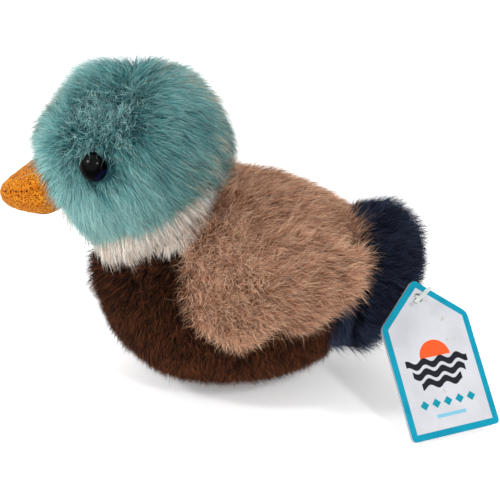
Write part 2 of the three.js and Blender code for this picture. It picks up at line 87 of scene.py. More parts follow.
def from_segment(p, start, end):
    """The way from the nearest point of a segment to each point."""
    run = end - start
    t = np.clip((p - start) @ run / (run @ run), 0, 1)[:, None]
    return p - (start + run * t)


class Form:
    """A unit ball stretched by its reaches, bent up by its rise and drawn in at its ends."""

    def __init__(self, x, z, front, rear, half_width, up, down, power=2.0, rise=0.0, taper=0.0,
                 narrow=0.0):
        self.x, self.z = x, z
        self.front, self.rear, self.half_width = front, rear, half_width
        self.up, self.down, self.power = up, down, power
        self.rise, self.taper, self.narrow = rise, taper, narrow

    def inset(self, depth, front):
        """The form at some depth, with another depth towards its front."""
        return Form(self.x, self.z, self.front - front, self.rear - depth, self.half_width - depth,
                    self.up - depth, self.down - depth, self.power, self.rise, self.taper, self.narrow)

    def slims(self, a):
        """How much is left of the form's girth towards its front, and of its width towards its rear."""
        return 1 - self.taper * np.maximum(0, -a), 1 - self.narrow * np.maximum(0, a)

    def place(self, ball):
        a, b, c = ball.T
        slim, narrow = self.slims(a)
        low = -((1 - (1 - c * c) ** (self.power / 2)) ** (1 / self.power))
        height = np.where(c < 0, low, c)
        x = a * np.where(a < 0, self.front, self.rear)
        y = b * self.half_width * slim * narrow
        z = height * np.where(c < 0, self.down, self.up) * slim + x * self.rise
        return np.stack([self.x + x, y, self.z + z], 1)

    def shares(self, p, grow=0.0):
        """A point's place in the form's own proportions, and the power that its half has."""
        along = p[:, 0] - self.x
        a = along / (np.where(along < 0, self.front, self.rear) + grow)
        slim, narrow = self.slims(a)
        b = p[:, 1] / ((self.half_width + grow) * slim * narrow)
        rise = p[:, 2] - self.z - along * self.rise
        c = rise / ((np.where(rise < 0, self.down, self.up) + grow) * slim)
        return a, b, c, np.where(c < 0, self.power, 2.0)

    def level(self, p, grow=0.0):
        """Below 1 inside the form and above 1 outside."""
        a, b, c, power = self.shares(p, grow)
        return (a * a + b * b) ** (power / 2) + np.abs(c) ** power

    def side(self, x, z, grow=0.0):
        """How far the surface stands out sideways at points of the side view."""
        a, _, c, power = self.shares(np.stack([x, np.zeros_like(x), z], 1), grow)
        level = np.maximum(1 - np.abs(c) ** power, 0) ** (1 / power)
        slim, narrow = self.slims(a)
        return np.sqrt(np.maximum(level ** 2 - a ** 2, 0)) * (self.half_width + grow) * slim * narrow


TRUNK = dict(x=3, z=37, front=43, half_width=38, up=35.7, down=37.5, power=2.3)
BODY = Form(**TRUNK, rear=50)
WING_BED = Form(**TRUNK, rear=62)
HEAD = Form(x=-23, z=82.5, front=32.8, rear=29.8, half_width=32, up=25, down=45, taper=0.2)
BEAK = Form(x=-54, z=67.2, front=14.4, rear=10, half_width=10, up=7.8, down=9.4, rise=0.17, taper=0.2)
TAIL = Form(x=47, z=35.2, front=23, rear=23, half_width=21, up=25.5, down=25.5, rise=0.32, narrow=0.35)
BODY_CLOTH = BODY.inset(BODY_PILE, BODY_PILE)
HEAD_CLOTH = HEAD.inset(HEAD_PILE, FACE_PILE)
TAIL_CLOTH = TAIL.inset(TAIL_PILE, TAIL_PILE)

NECK_CENTRE = np.array([-18.5, 0, 63.6])
NECK_TILT = math.radians(30)
NECK_AXIS = np.array([-math.sin(NECK_TILT), 0, math.cos(NECK_TILT)])
NECK_RADIUS, NECK_BAND_WIDTH = 28.5, 8.5
SEAM_FRONT = np.array([-8, 0, 58])
SEAM_REAR = np.array([42, 0, 38])
SEAM_NORMAL = unit(np.cross(AXIS_Y, SEAM_FRONT - SEAM_REAR))
BASE_RADIUS, BASE_HEIGHT = 21, 9
EYE_X, EYE_Z, EYE_RADIUS, EYE_HEIGHT, EYE_SINK = -35.2, 81.1, 4.5, 4.2, 2.7
EYE_TILT = np.array([-0.05, 0, 0.22])


def above_neck(p):
    return (p - NECK_CENTRE) @ NECK_AXIS


def above_seam(p):
    return (p - SEAM_FRONT) @ SEAM_NORMAL


def ring_cells(rows, around):
    """The corners of each cell between rings of points: two on one ring and two on the next."""
    i, j = np.meshgrid(np.arange(rows - 1), np.arange(around), indexing="ij")
    a, b = i * around + j, i * around + (j + 1) % around
    return a, b, a + around, b + around


def triangles(*corners):
    return np.stack(corners, -1).reshape(-1, 3)


def fan(centre, start, around, flip=False):
    """Triangles from a centre to the ring of points from a start."""
    ring = start + np.arange(around)
    after = np.roll(ring, -1)
    return triangles(np.full(around, centre), *((after, ring) if flip else (ring, after)))


def ball(along, around):
    """Points and triangles of a unit ball whose poles are on X."""
    theta = np.linspace(0, math.pi, along + 1)[1:-1]
    phi = np.linspace(0, TURN, around, endpoint=False)
    t, f = np.meshgrid(theta, phi, indexing="ij")
    rows = np.stack([-np.cos(t), np.sin(t) * np.cos(f), np.sin(t) * np.sin(f)], -1).reshape(-1, 3)
    points = np.concatenate([-AXIS_X[None], rows, AXIS_X[None]])
    a, b, c, d = (1 + corner for corner in ring_cells(len(theta), around))
    last = len(points) - 1
    return points, np.concatenate([fan(0, 1, around), triangles(a, c, b), triangles(b, c, d),
                                   fan(last, last - around, around, flip=True)])


def face_normals(points, faces):
    a, b, c = points[faces[:, 0]], points[faces[:, 1]], points[faces[:, 2]]
    return np.cross(b - a, c - a)


def point_normals(points, faces):
    n = face_normals(points, faces)
    total = np.zeros_like(points)
    for corner in range(3):
        np.add.at(total, faces[:, corner], n)
    return unit(total)


class Surface:
    """A triangle surface that pile can be rooted on."""

    def __init__(self, points, faces):
        middle = points.mean(0)
        out = (face_normals(points, faces) * (points[faces].mean(1) - middle)).sum()
        self.points = points
        self.faces = faces if out > 0 else faces[:, ::-1]
        self.normals = point_normals(self.points, self.faces)

    def sample(self, density, rng):
        n = face_normals(self.points, self.faces)
        area = np.linalg.norm(n, axis=1) / 2
        count = int(area.sum() * density)
        pick = np.searchsorted(np.cumsum(area) / area.sum(), rng.random(count))
        pick = np.minimum(pick, len(area) - 1)
        u, v = rng.random(count), rng.random(count)
        flip = u + v > 1
        u, v = np.where(flip, 1 - u, u), np.where(flip, 1 - v, v)
        weights = np.stack([1 - u - v, u, v], 1)[:, :, None]
        corners = self.faces[pick]
        return (self.points[corners] * weights).sum(1), unit((self.normals[corners] * weights).sum(1))


def form_surface(form, along=90, around=130):
    points, faces = ball(along, around)
    return Surface(form.place(points), faces)


class Waves:
    """A smooth random field with values of about -1 to 1."""

    def __init__(self, seed, wavelength, count=9):
        rng = np.random.default_rng(seed)
        spread = rng.uniform(0.6, 1.7, (count, 1))
        self.k = unit(rng.normal(size=(count, 3))) * TURN / wavelength * spread
        self.phase = rng.uniform(0, TURN, count)

    def __call__(self, p):
        return np.sin(p @ self.k.T + self.phase).sum(1) / math.sqrt(len(self.phase))


# Meshes


def link(name, data):
    """A new object of some data, in the scene."""
    made = bpy.data.objects.new(name, data)
    bpy.context.scene.collection.objects.link(made)
    return made


def build(name, points, polygons, material, body, uv=None):
    """A mesh object of polygon arrays, each array of one corner count."""
    mesh = bpy.data.meshes.new(name)
    loops = np.concatenate([q.reshape(-1) for q in polygons])
    sizes = np.concatenate([np.full(len(q), q.shape[1]) for q in polygons])
    starts = np.concatenate([[0], np.cumsum(sizes)[:-1]])
    mesh.vertices.add(len(points))
    mesh.vertices.foreach_set("co", (points * MM).astype(np.float32).reshape(-1))
    mesh.loops.add(len(loops))
    mesh.loops.foreach_set("vertex_index", loops.astype(np.int32))
    mesh.polygons.add(len(sizes))
    mesh.polygons.foreach_set("loop_start", starts.astype(np.int32))
    mesh.update(calc_edges=True)
    mesh.shade_smooth()
    if uv is not None:
        layer = mesh.uv_layers.new(name=UV_NAME)
        layer.data.foreach_set("uv", uv.astype(np.float32).reshape(-1))
    mesh.materials.append(material)
    piece = link(name, mesh)
    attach(piece, body)
    return piece


def backing(name, surface, keep, material, nodes, thickness=BACKING_THICKNESS):
    """A closed shell over the kept faces of a surface, with its thickness inwards, for some nodes."""
    middles = surface.points[surface.faces].mean(1)
    faces = surface.faces[keep(middles)]
    used, faces = np.unique(faces, return_inverse=True)
    faces = faces.reshape(-1, 3)
    count = len(used)
    outer = surface.points[used]
    inner = outer - surface.normals[used] * thickness
    edges = np.concatenate([faces[:, [0, 1]], faces[:, [1, 2]], faces[:, [2, 0]]])
    rim = edges[~np.isin(edges[:, 0] * count + edges[:, 1], edges[:, 1] * count + edges[:, 0])]
    walls = np.stack([rim[:, 1], rim[:, 0], rim[:, 0] + count, rim[:, 1] + count], 1)
    polygons = [faces, faces[:, ::-1] + count, walls]
    cloth = build(name, np.concatenate([outer, inner]), polygons, material, "duck")
    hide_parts(*nodes)


# Pile

MAX_PIECE_FACES = 190000
SIDES = 3
SHADE_STEP = 0.012
UV_MARGIN = 0.02
TAPER, TAPER_POWER = 0.7, 1.5
PULL_POWER = 1.4
SHADE_WAVELENGTH = 9

# The least and most that one strand has of its coat's value
LENGTH_RANGE = (0.5, 1.5)
BEND_RANGE = (0.6, 1.4)
CURL_RANGE = (0.4, 1.0)
PULL_RANGE = (0.2, 1.0)
WIDTH_RANGE = (0.7, 1.3)
TUFT_PHASE_SPREAD, TUFT_LENGTH_SHARE = 0.1, 0.6

# What a coat says, unless it says otherwise. Angles are degrees and lengths millimetres, and a
# value may be a function of the roots. Strands of one tuft lean, curl and shade alike.
COAT = {
    "density": 4.0, "width": 0.09, "steps": 3, "root": 0.4, "length": 6.0, "length_spread": 0.12,
    "lift": 45, "lift_spread": 6, "tuft_lift": 5, "bend": 28, "spread": 9, "tuft_turn": 16,
    "swirl": 14, "swirl_length": 14, "curl": 0.2, "curl_turns": 0.8, "sag": 0.12,
    "tuft": 4, "pull": 0.5, "pull_reach": 0.8, "strays": 0.03, "stray_length": 1.2,
    "length_wave": 0.09, "wave_length": 11,
    "middle": 0.5, "shade_spread": 0.17, "tuft_shade": 0.14, "shade_wave": 0.07, "tint": 0.0,
}


def valued(entry, points):
    """A coat's entry at each point, be it one number or a function of the points."""
    return entry(points) if callable(entry) else np.full(len(points), float(entry))


def nearest(points, centres):
    tree = kdtree.KDTree(len(centres))
    for i, centre in enumerate(centres):
        tree.insert(centre, i)
    tree.balance()
    return np.array([tree.find(p)[1] for p in points])


def centrelines(root, normal, way, coat, own, shared, rng):
    """The points of each strand, from its root to its tip."""
    count, steps = len(root), coat["steps"]
    own_value = {key: valued(coat[key], root)
                 for key in ("tuft_turn", "spread", "lift", "bend", "curl", "length", "pull")}
    stray = rng.random(count) < coat["strays"]
    turn = Waves(coat["seed"] + 1, coat["swirl_length"])(root) * coat["swirl"]
    turn += shared[:, 0] * own_value["tuft_turn"] + rng.normal(size=count) * own_value["spread"]
    turn = np.radians(turn)[:, None]
    way = way * np.cos(turn) + np.cross(normal, way) * np.sin(turn)
    side = np.cross(normal, way)
    lift = own_value["lift"] + shared[:, 1] * coat["tuft_lift"]
    lift = np.radians(lift + rng.normal(0, coat["lift_spread"], count))[:, None]
    bend = np.radians(own_value["bend"] * rng.uniform(*BEND_RANGE, count))[:, None]
    curl = (own_value["curl"] * rng.uniform(*CURL_RANGE, count))[:, None]
    phase = (TURN * (shared[:, 2] + TUFT_PHASE_SPREAD * rng.normal(size=count)))[:, None]
    spread = rng.normal(size=count) + TUFT_LENGTH_SHARE * shared[:, 3]
    long = own_value["length"] * (1 + coat["length_spread"] * spread).clip(*LENGTH_RANGE)
    long *= 1 + Waves(coat["seed"] + 3, coat["wave_length"])(root) * coat["length_wave"]
    long = (long * np.where(stray, coat["stray_length"], 1))[:, None]
    line = [root - normal * coat["root"]]
    for k in range(steps):
        t = (k + 0.5) / steps
        angle = lift - bend * t
        wave = phase + t * TURN * coat["curl_turns"]
        step = way * np.cos(angle) + normal * np.sin(angle)
        step = step + (side * np.sin(wave) + normal * np.cos(wave) * 0.5) * curl - AXIS_Z * coat["sag"] * t
        line.append(line[-1] + unit(step) * (long / steps))
    line = np.stack(line, 1)
    leaders = np.arange(0, count, coat["tuft"])
    pull = own_value["pull"] * rng.uniform(*PULL_RANGE, count) * ~stray
    tip = line[leaders][own][:, -1] - line[:, -1]
    tip *= np.minimum(1, coat["pull_reach"] / np.maximum(reach(tip), TINY))[:, None]
    for k in range(1, steps + 1):
        line[:, k] += tip * pull[:, None] * (k / steps) ** PULL_POWER
    return line


def tubes(line, width, shade):
    """Closed three-sided tapering tubes along the lines, with a shade and a height as UV."""
    count, rows = line.shape[:2]
    steps = rows - 1
    run = unit(line[:, -1] - line[:, 0])
    across = unit(np.cross(run, AXIS_Z + 0.1 * AXIS_X))
    second = np.cross(run, across)
    turn = np.arange(SIDES) * TURN / SIDES
    spokes = across[:, None] * np.cos(turn)[None, :, None] + second[:, None] * np.sin(turn)[None, :, None]
    share = 1 - (np.arange(steps) / steps) ** TAPER_POWER * TAPER
    rings = line[:, :-1, None] + spokes[:, None] * (width[:, None] * share)[:, :, None, None]
    points = np.concatenate([rings.reshape(count, -1, 3), line[:, -1:]], 1)
    each = points.shape[1]
    base = np.arange(count)[:, None] * each
    sides = np.arange(SIDES)
    after = (sides + 1) % SIDES
    polygons, uv = [], []

    def add(corners, heights):
        """One row of polygons for every strand, with the height of each corner."""
        corners = np.atleast_2d(corners)
        polygons.append((base[:, :, None] + corners[None]).reshape(-1, corners.shape[1]))
        shape = (count, *corners.shape)
        u = shade[:, None, None] + SHADE_STEP * (np.arange(corners.shape[1]) % 2)
        v = np.broadcast_to(np.array(heights), shape)
        uv.append(np.stack([np.broadcast_to(u, shape), v], -1).reshape(-1, 2))

    for k in range(steps - 1):
        low, high = k * SIDES, (k + 1) * SIDES
        corners = np.stack([low + sides, low + after, high + after, high + sides], 1)
        add(corners, [k / steps, k / steps, (k + 1) / steps, (k + 1) / steps])
    last = (steps - 1) * SIDES
    tip_foot = (steps - 1) / steps
    add(np.stack([last + sides, last + after, np.full(SIDES, each - 1)], 1), [tip_foot, tip_foot, 1.0])
    add(sides[::-1], [0.0, 0.0, SHADE_STEP])
    uv = UV_MARGIN + np.concatenate(uv) * (1 - 2 * UV_MARGIN - SHADE_STEP)
    return points.reshape(-1, 3), polygons, uv


def pile(name, surface, keep, comb, material, seed, coat, body="duck"):
    """Strands of pile over a surface: keep gives the share of them that grow at a point."""
    coat = {**COAT, **coat, "seed": seed}
    rng = np.random.default_rng(seed)
    root, normal = surface.sample(coat["density"], rng)
    grown = rng.random(len(root)) < keep(root)
    root, normal = root[grown], normal[grown]
    count = len(root)
    leaders = np.arange(0, count, coat["tuft"])
    own = nearest(root, root[leaders])
    shared = rng.normal(size=(len(leaders), 5))[own]
    way = comb(root, normal)
    way = unit(way - normal * dot(way, normal) + TINY)
    line = centrelines(root, normal, way, coat, own, shared, rng)
    line[:, :, 2] = np.maximum(line[:, :, 2], FLOOR_GAP)
    tone = coat["middle"] + rng.normal(0, coat["shade_spread"], count) + shared[:, 4] * coat["tuft_shade"]
    tone += Waves(seed + 2, SHADE_WAVELENGTH)(root) * coat["shade_wave"] + valued(coat["tint"], root)
    width = coat["width"] * rng.uniform(*WIDTH_RANGE, count)
    per_strand = 2 * SIDES * (coat["steps"] - 1) + SIDES + 1
    parts = math.ceil(count * per_strand / MAX_PIECE_FACES)
    for part in range(parts):
        mine = slice(part * count // parts, (part + 1) * count // parts)
        points, polygons, uv = tubes(line[mine], width[mine], tone[mine].clip(0, 1))
        label = name if parts == 1 else f"{name}_{part + 1}"
        build(label, points, polygons, material, body, uv)


# Materials


class Finish:
    """A new material with a principled shader."""

    def __init__(self, name, **sockets):
        self.material = bpy.data.materials.new(name)
        self.material.use_nodes = True
        self.tree = self.material.node_tree
        self.shader = self.tree.nodes["Principled BSDF"]
        for socket, value in sockets.items():
            self.shader.inputs[socket.replace("_", " ")].default_value = value

    def fill(self, made, inputs):
        for key, value in inputs:
            if isinstance(value, bpy.types.NodeSocket):
                self.tree.links.new(value, made.inputs[key])
            else:
                made.inputs[key].default_value = value
        return made

    def node(self, kind, inputs=(), **settings):
        made = self.tree.nodes.new(kind)
        for key, value in settings.items():
            setattr(made, key, value)
        return self.fill(made, dict(inputs).items())

    def ramp(self, value, stops):
        made = self.node("ShaderNodeValToRGB", {"Fac": value})
        elements = made.color_ramp.elements
        while len(elements) < len(stops):
            elements.new(1)
        for element, (place, colour) in zip(elements, stops):
            element.position = place
            element.color = colour
        return made.outputs["Color"]

    def mix(self, share, first, second, blend="MIX"):
        made = self.node("ShaderNodeMix", data_type="RGBA", blend_type=blend)
        return self.fill(made, ((0, share), (6, first), (7, second))).outputs[2]

    def math(self, operation, *values):
        made = self.node("ShaderNodeMath", operation=operation)
        return self.fill(made, enumerate(values)).outputs[0]

    def both(self, first, second):
        return self.math("MULTIPLY", first, second)

    def off(self, value, middle):
        """How far a value is from its middle."""
        return self.math("ABSOLUTE", self.math("SUBTRACT", value, middle))

    def from_repeat(self, value, step):
        """How far a value is from the middle of its step, where steps follow each other."""
        return self.off(self.math("MODULO", value, step), step / 2)

    def below(self, value, limit):
        """1 where the value is less than the limit, with a narrow soft edge."""
        return self.ramp(self.math("SUBTRACT", value, limit - 0.5), [(0.45, WHITE), (0.55, BLACK)])

    def coordinates(self, kind):
        return self.node("ShaderNodeTexCoord").outputs[kind]

    def dot(self, vector, direction):
        found = self.node("ShaderNodeVectorMath", operation="DOT_PRODUCT")
        return self.fill(found, ((0, vector), (1, tuple(direction)))).outputs["Value"]

    def along(self, direction, origin):
        """How many millimetres a point lies from the origin along a direction."""
        run = self.math("DIVIDE", self.dot(self.coordinates("Object"), direction), MM)
        return self.math("SUBTRACT", run, float(np.dot(direction, origin)))

    def faces(self, direction):
        """How much the surface faces a direction, from -1 to 1."""
        return self.dot(self.coordinates("Normal"), direction)

    def noise(self, size, detail=3.0, roughness=0.55):
        made = self.node("ShaderNodeTexNoise", {
            "Vector": self.coordinates("Object"), "Scale": 1 / (size * MM), "Detail": detail,
            "Roughness": roughness})
        return made.outputs["Fac"]

    def clouds(self, size, dark, light):
        return self.ramp(self.noise(size), [(0.3, dark), (0.7, light)])

    def colour(self, socket):
        self.tree.links.new(socket, self.shader.inputs["Base Color"])

    def bump(self, height, depth):
        made = self.node("ShaderNodeBump", {"Height": height, "Distance": depth * MM})
        self.tree.links.new(made.outputs["Normal"], self.shader.inputs["Normal"])


def srgb(r, g, b):
    """A linear colour from 8-bit display values."""
    def channel(v):
        v /= 255
        return v / 12.92 if v <= 0.04045 else ((v + 0.055) / 1.055) ** 2.4
    return (channel(r), channel(g), channel(b), 1.0)


def grey(v):
    return (v, v, v, 1.0)


WHITE, BLACK = grey(1), grey(0)


def fibre(name, dark, middle, light, tip, root_shade, tip_share=0.7, tip_from=0.55, roughness=0.7):
    """Pile: a shade for each strand; darker at its root (painted shade) and paler at its tip (own tone,
    partly painted glow).
    """
    finish = Finish(name, Roughness=roughness, Specular_IOR_Level=0.08)
    uv = finish.node("ShaderNodeUVMap", uv_map=UV_NAME).outputs["UV"]
    parts = finish.node("ShaderNodeSeparateXYZ", {"Vector": uv})
    own = finish.ramp(parts.outputs["X"], [(0.05, dark), (0.5, middle), (0.95, light)])
    # Painted shade: this ramp over the strand's height darkens it towards its root, where the pile shades
    # itself.
    depth = finish.ramp(parts.outputs["Y"], [(0.05, grey(root_shade)), (0.55, grey(0.85)), (0.85, WHITE)])
    shaded = finish.mix(1.0, own, depth, "MULTIPLY")
    # Painted light in part: the paler tips also stand in for thin tips glowing against the light at the
    # outline.
    end = finish.ramp(parts.outputs["Y"], [(tip_from, BLACK), (1.0, grey(tip_share))])
    finish.colour(finish.mix(end, shaded, tip))
    return finish.material


def knit(name, dark, light):
    """Fabric backing under the pile: fine short fibre in two tones."""
    finish = Finish(name, Roughness=0.95, Sheen_Weight=0.1, Specular_IOR_Level=0.1)
    fine = finish.noise(0.5, 4.0, 0.7)
    wide = finish.noise(6.0, 2.0)
    blend = finish.math("ADD", finish.math("MULTIPLY", fine, 0.7), finish.math("MULTIPLY", wide, 0.3))
    finish.colour(finish.ramp(blend, [(0.35, dark), (0.65, light)]))
    finish.bump(fine, 0.3)
    return finish.material


TEAL = fibre("teal_pile", srgb(32, 92, 102), srgb(106, 182, 184), srgb(186, 237, 234), srgb(190, 200, 186),
             root_shade=0.3, tip_share=0.75, tip_from=0.66)
FUZZ = fibre("fuzz_pile", srgb(150, 158, 144), srgb(196, 198, 180), srgb(224, 218, 200),
             srgb(230, 224, 208), root_shade=0.8)
CREAM = fibre("cream_pile", srgb(216, 188, 166), srgb(255, 238, 222), srgb(255, 250, 242),
              srgb(255, 252, 246), root_shade=0.95)
BROWN = fibre("brown_pile", srgb(9, 4, 2), srgb(36, 15, 8), srgb(134, 78, 48), srgb(98, 58, 35),
              root_shade=0.25, tip_share=0.36)
TAN = fibre("tan_pile", srgb(102, 52, 34), srgb(211, 142, 105), srgb(255, 214, 180), srgb(255, 216, 184),
            root_shade=0.22)
NAVY = fibre("navy_pile", srgb(8, 10, 18), srgb(25, 30, 46), srgb(74, 86, 112), srgb(74, 86, 112),
             root_shade=0.35, tip_share=0.35)
# Each backing is darker than its pile: partly the cloth's own colour, partly painted shade deep under the
# strands.
TEAL_KNIT = knit("teal_knit", srgb(16, 52, 60), srgb(34, 84, 90))
CREAM_KNIT = knit("cream_knit", srgb(140, 112, 94), srgb(190, 166, 146))
BROWN_KNIT = knit("brown_knit", srgb(20, 10, 6), srgb(38, 22, 14))
TAN_KNIT = knit("tan_knit", srgb(82, 50, 36), srgb(120, 80, 60))
NAVY_KNIT = knit("navy_knit", srgb(8, 10, 16), srgb(20, 24, 36))
# Head

PARTING_TOP = np.array([-19.5, 0, 107.5])
PARTING_BEND = np.array([-27.5, -24.5, 96.5])
PARTING_END = np.array([-42.0, -21.5, 86.5])
CURLY_PATCH = np.array([-32.5, -21.5, 98.0])
CROWN_TUFT = np.array([-31.0, -3.0, 105.5])
COMB_BACK = np.array([0.6, 0, -0.1])
THROAT_COMB = np.array([1.1, 0, -0.9])
GUSSET_CROWN, GUSSET_END = 13.0, 6.0
EYE_BARE = 4.0
HOLES = Waves(63, 4.2, 12)


def eye_frame():
    """The eye's foot on the left of the head and the way it faces."""
    step = 0.3
    x = np.array([EYE_X, EYE_X + step, EYE_X - step, EYE_X, EYE_X])
    z = np.array([EYE_Z, EYE_Z, EYE_Z, EYE_Z + step, EYE_Z - step])
    side = HEAD.side(x, z)
    out = unit(np.array([side[2] - side[1], -2 * step, side[4] - side[3]]))
    return np.array([EYE_X, -side[0], EYE_Z]), unit(out + EYE_TILT)


EYE_FOOT, EYE_OUT = eye_frame()


def gusset_half(p):
    """Half the width of the head's middle strip at a point."""
    a = (p[:, 0] - HEAD.x) / np.where(p[:, 0] < HEAD.x, HEAD.front, HEAD.rear)
    return GUSSET_END + (GUSSET_CROWN - GUSSET_END) * np.clip(1 - a * a, 0, 1)


def from_parting(p):
    """The way from the nearer point of the parting, which runs down each side of the crown."""
    left, flip = mirrored_left(p)
    upper = from_segment(left, PARTING_TOP, PARTING_BEND)
    lower = from_segment(left, PARTING_BEND, PARTING_END)
    return np.where((reach(upper) < reach(lower))[:, None], upper, lower) * flip


def from_eye(p):
    """The way from the nearer eye's axis."""
    left, flip = mirrored_left(p)
    away = left - EYE_FOOT
    return (away - dot(away, EYE_OUT) * EYE_OUT) * flip


def curly(p):
    """1 on the short curly patch above the eye, fading to 0 around it."""
    left, _ = mirrored_left(p)
    patch = smooth(16, 8, reach(left - CURLY_PATCH))
    brow = smooth(13, 5, reach(from_segment(left, PARTING_BEND, PARTING_END)))
    crown = smooth(9, 3, reach(from_segment(left, PARTING_TOP, PARTING_BEND)))
    return np.maximum(np.maximum(patch, 0.6 * brow), 0.5 * crown)


def holes(p):
    """1 in the small holes between the curls, whose strands are thinned there and darkened as painted
    shade.
    """
    return curly(p) * smooth(0.1, 0.8, HOLES(p))


def near_beak(p):
    return smooth(7, 0.5, (np.sqrt(BEAK.level(p)) - 1) * BEAK.half_width)


def near_eye(p):
    return smooth(8.5, 4.2, reach(from_eye(p)))


def brow(p):
    """1 just above and in front of an eye, where the pile hangs over it."""
    x, _, z = from_eye(p).T
    return near_eye(p) * smooth(0.5, 3.5, z - 0.5 * x) * smooth(2.5, -0.5, x)


def over_eye(p):
    """Where the strands that hang over an eye are rooted."""
    eye = from_eye(p)
    return (brow(p) > 0.3) & (eye[:, 0] < -0.8) & (reach(eye) < 6.2)


def hollow(p):
    """1 in the hollow along the front of an eye, where the strands are shorter, thinner and darkened as
    painted shadow.
    """
    eye = from_eye(p)
    return smooth(7.0, 5.4, reach(eye)) * smooth(-0.5, -3.0, eye[:, 0]) * smooth(3.6, 1.0, eye[:, 2])


def upper_rear(p):
    """1 high on the rear of the head, where the pile lies flatter."""
    return smooth(-20, -8, p[:, 0]) * smooth(86, 96, p[:, 2])


def high(p):
    return smooth(90, 100, p[:, 2])


def greyed(p):
    """Share of beige strands: full low at the rear of the head, and some over the crown."""
    nape = smooth(-18, 0, p[:, 0]) * smooth(20, 5, above_neck(p))
    return np.maximum(nape, 0.45 * smooth(11, 2, np.abs(p[:, 1]))) * (1 - curly(p))


def head_comb(p, n):
    """The pile runs away from the parting, back over the cheeks, and aside around the eyes."""
    away = from_parting(p) * (AXIS_X + AXIS_Z + AXIS_Y * np.clip(np.abs(p[:, 1:2]) / 8, 0, 1))
    behind = smooth(-46, -34, p[:, 0:1])
    throat = smooth(74, 64, p[:, 2:3]) * smooth(-32, -44, p[:, 0:1])
    way = unit(away) + COMB_BACK * behind + THROAT_COMB * throat
    eye = from_eye(p)
    below = smooth(-3, 3, -eye[:, 2:3] + eye[:, 0:1])
    share = near_eye(p)[:, None] * (0.1 + 0.85 * below)
    return unit(way) * (1 - share) + unit(eye) * share


def head_length(p):
    """How long the strands are, in millimetres."""
    x, _, z = p.T
    forehead = smooth(-32, -46, x) * smooth(80, 88, z) * (1 - curly(p))
    chin = smooth(-42, -50, x) * smooth(74, 66, z)
    collar = smooth(12, 0, above_neck(p))
    over_beak = near_beak(p) * smooth(72, 77, z)
    tuft = smooth(13, 3, reach(p - CROWN_TUFT))
    long = 9.0 + 0.9 * high(p) - 3.4 * curly(p) - 1.8 * forehead - 4.0 * chin + 0.5 * over_beak
    long += 4.0 * tuft - (1.2 - 2.6 * smooth(-32, -6, x)) * collar
    around_eye = 1 - 0.62 * near_eye(p) * (1 - 0.8 * brow(p))
    return long * (1 - 0.5 * hollow(p)) * (1 - 0.1 * upper_rear(p)) * around_eye


def head_lift(p):
    """How steeply the strands stand, in degrees."""
    z = p[:, 2]
    at_parting = smooth(6, 0, reach(from_parting(p)))
    over_beak = near_beak(p) * smooth(70, 76, z)
    under_beak = near_beak(p) - over_beak
    throat = smooth(74, 60, z) * (1 - near_beak(p))
    return (38 + 10 * high(p) - 16 * upper_rear(p) + 16 * curly(p) + 4 * at_parting + 28 * over_beak
            - 8 * under_beak - 8 * throat + 22 * brow(p))


def head_painted_light_and_tint(p):
    """How much lighter the strands are than their coat's middle tone, much of it painted light and shade.
    """
    x, _, z = p.T
    low = smooth(84, 60, z) * smooth(-2, -22, x)
    forehead = smooth(-38, -50, x) * smooth(72, 80, z)
    crown, rear = smooth(92, 104, z), smooth(-24, 0, x)
    at_parting = smooth(3, 0, reach(from_parting(p)))
    # Painted light and shade: lighter low on the face and at the forehead where light falls, darker at the
    # rear, under the curls, in their holes and in the eye's hollow.
    return (0.44 * low + 0.28 * forehead + 0.14 * crown - 0.2 * rear - 0.5 * curly(p)
            - 0.4 * holes(p) - 0.75 * hollow(p) - 0.06 * at_parting)


HEAD_COAT = dict(
    length=head_length, lift=head_lift, bend=lambda p: 26 - 20 * near_beak(p) + 30 * brow(p),
    tint=head_painted_light_and_tint, density=7.4, width=0.069, curl=lambda p: 0.16 + 0.9 * curly(p), curl_turns=0.9,
    pull=lambda p: 0.18 + 0.2 * curly(p), tuft_turn=lambda p: 9 + 36 * curly(p),
    spread=lambda p: 10 + 22 * curly(p), swirl=13, swirl_length=13,
)
HEAD_CURLS = dict(
    HEAD_COAT, steps=6, density=4.4, width=0.068, length=6.6, lift=50, lift_spread=20, bend=28, curl=1.3,
    curl_turns=1.4, tuft_turn=80, spread=22, pull=0.3, middle=0.76, strays=0, shade_spread=0.3, tint=0.0,
)
BROW = dict(HEAD_COAT, density=3.6, length=6.6, lift=72, lift_spread=8, bend=50, curl=0.25, tint=0.4,
            tuft_turn=26, spread=16)
HEAD_FUZZ = dict(HEAD_COAT, density=2.2, width=0.06, length=10.0, lift=44, tint=0.0)
# Painted shade: the underpile's darker middle tone stands for the shade under the top pile.
HEAD_UNDER = dict(HEAD_COAT, steps=1, density=5.0, width=0.075, pull=0.15, middle=0.4, strays=0,
                  length=lambda p: head_length(p) * 0.7)
HEAD_NODES = {"left": ["head_panel_left"], "right": ["head_panel_right"],
              "gusset": ["head_gusset", "head_stuffing"]}


def head_part(part):
    """Where one panel of the head's plush is."""
    def inside(p):
        half, y = gusset_half(p), p[:, 1]
        strip = {"left": y < -half, "right": y > half, "gusset": np.abs(y) <= half}[part]
        return strip & (above_neck(p) > 0) & (BEAK.level(p, -1.0) > 1)
    return inside


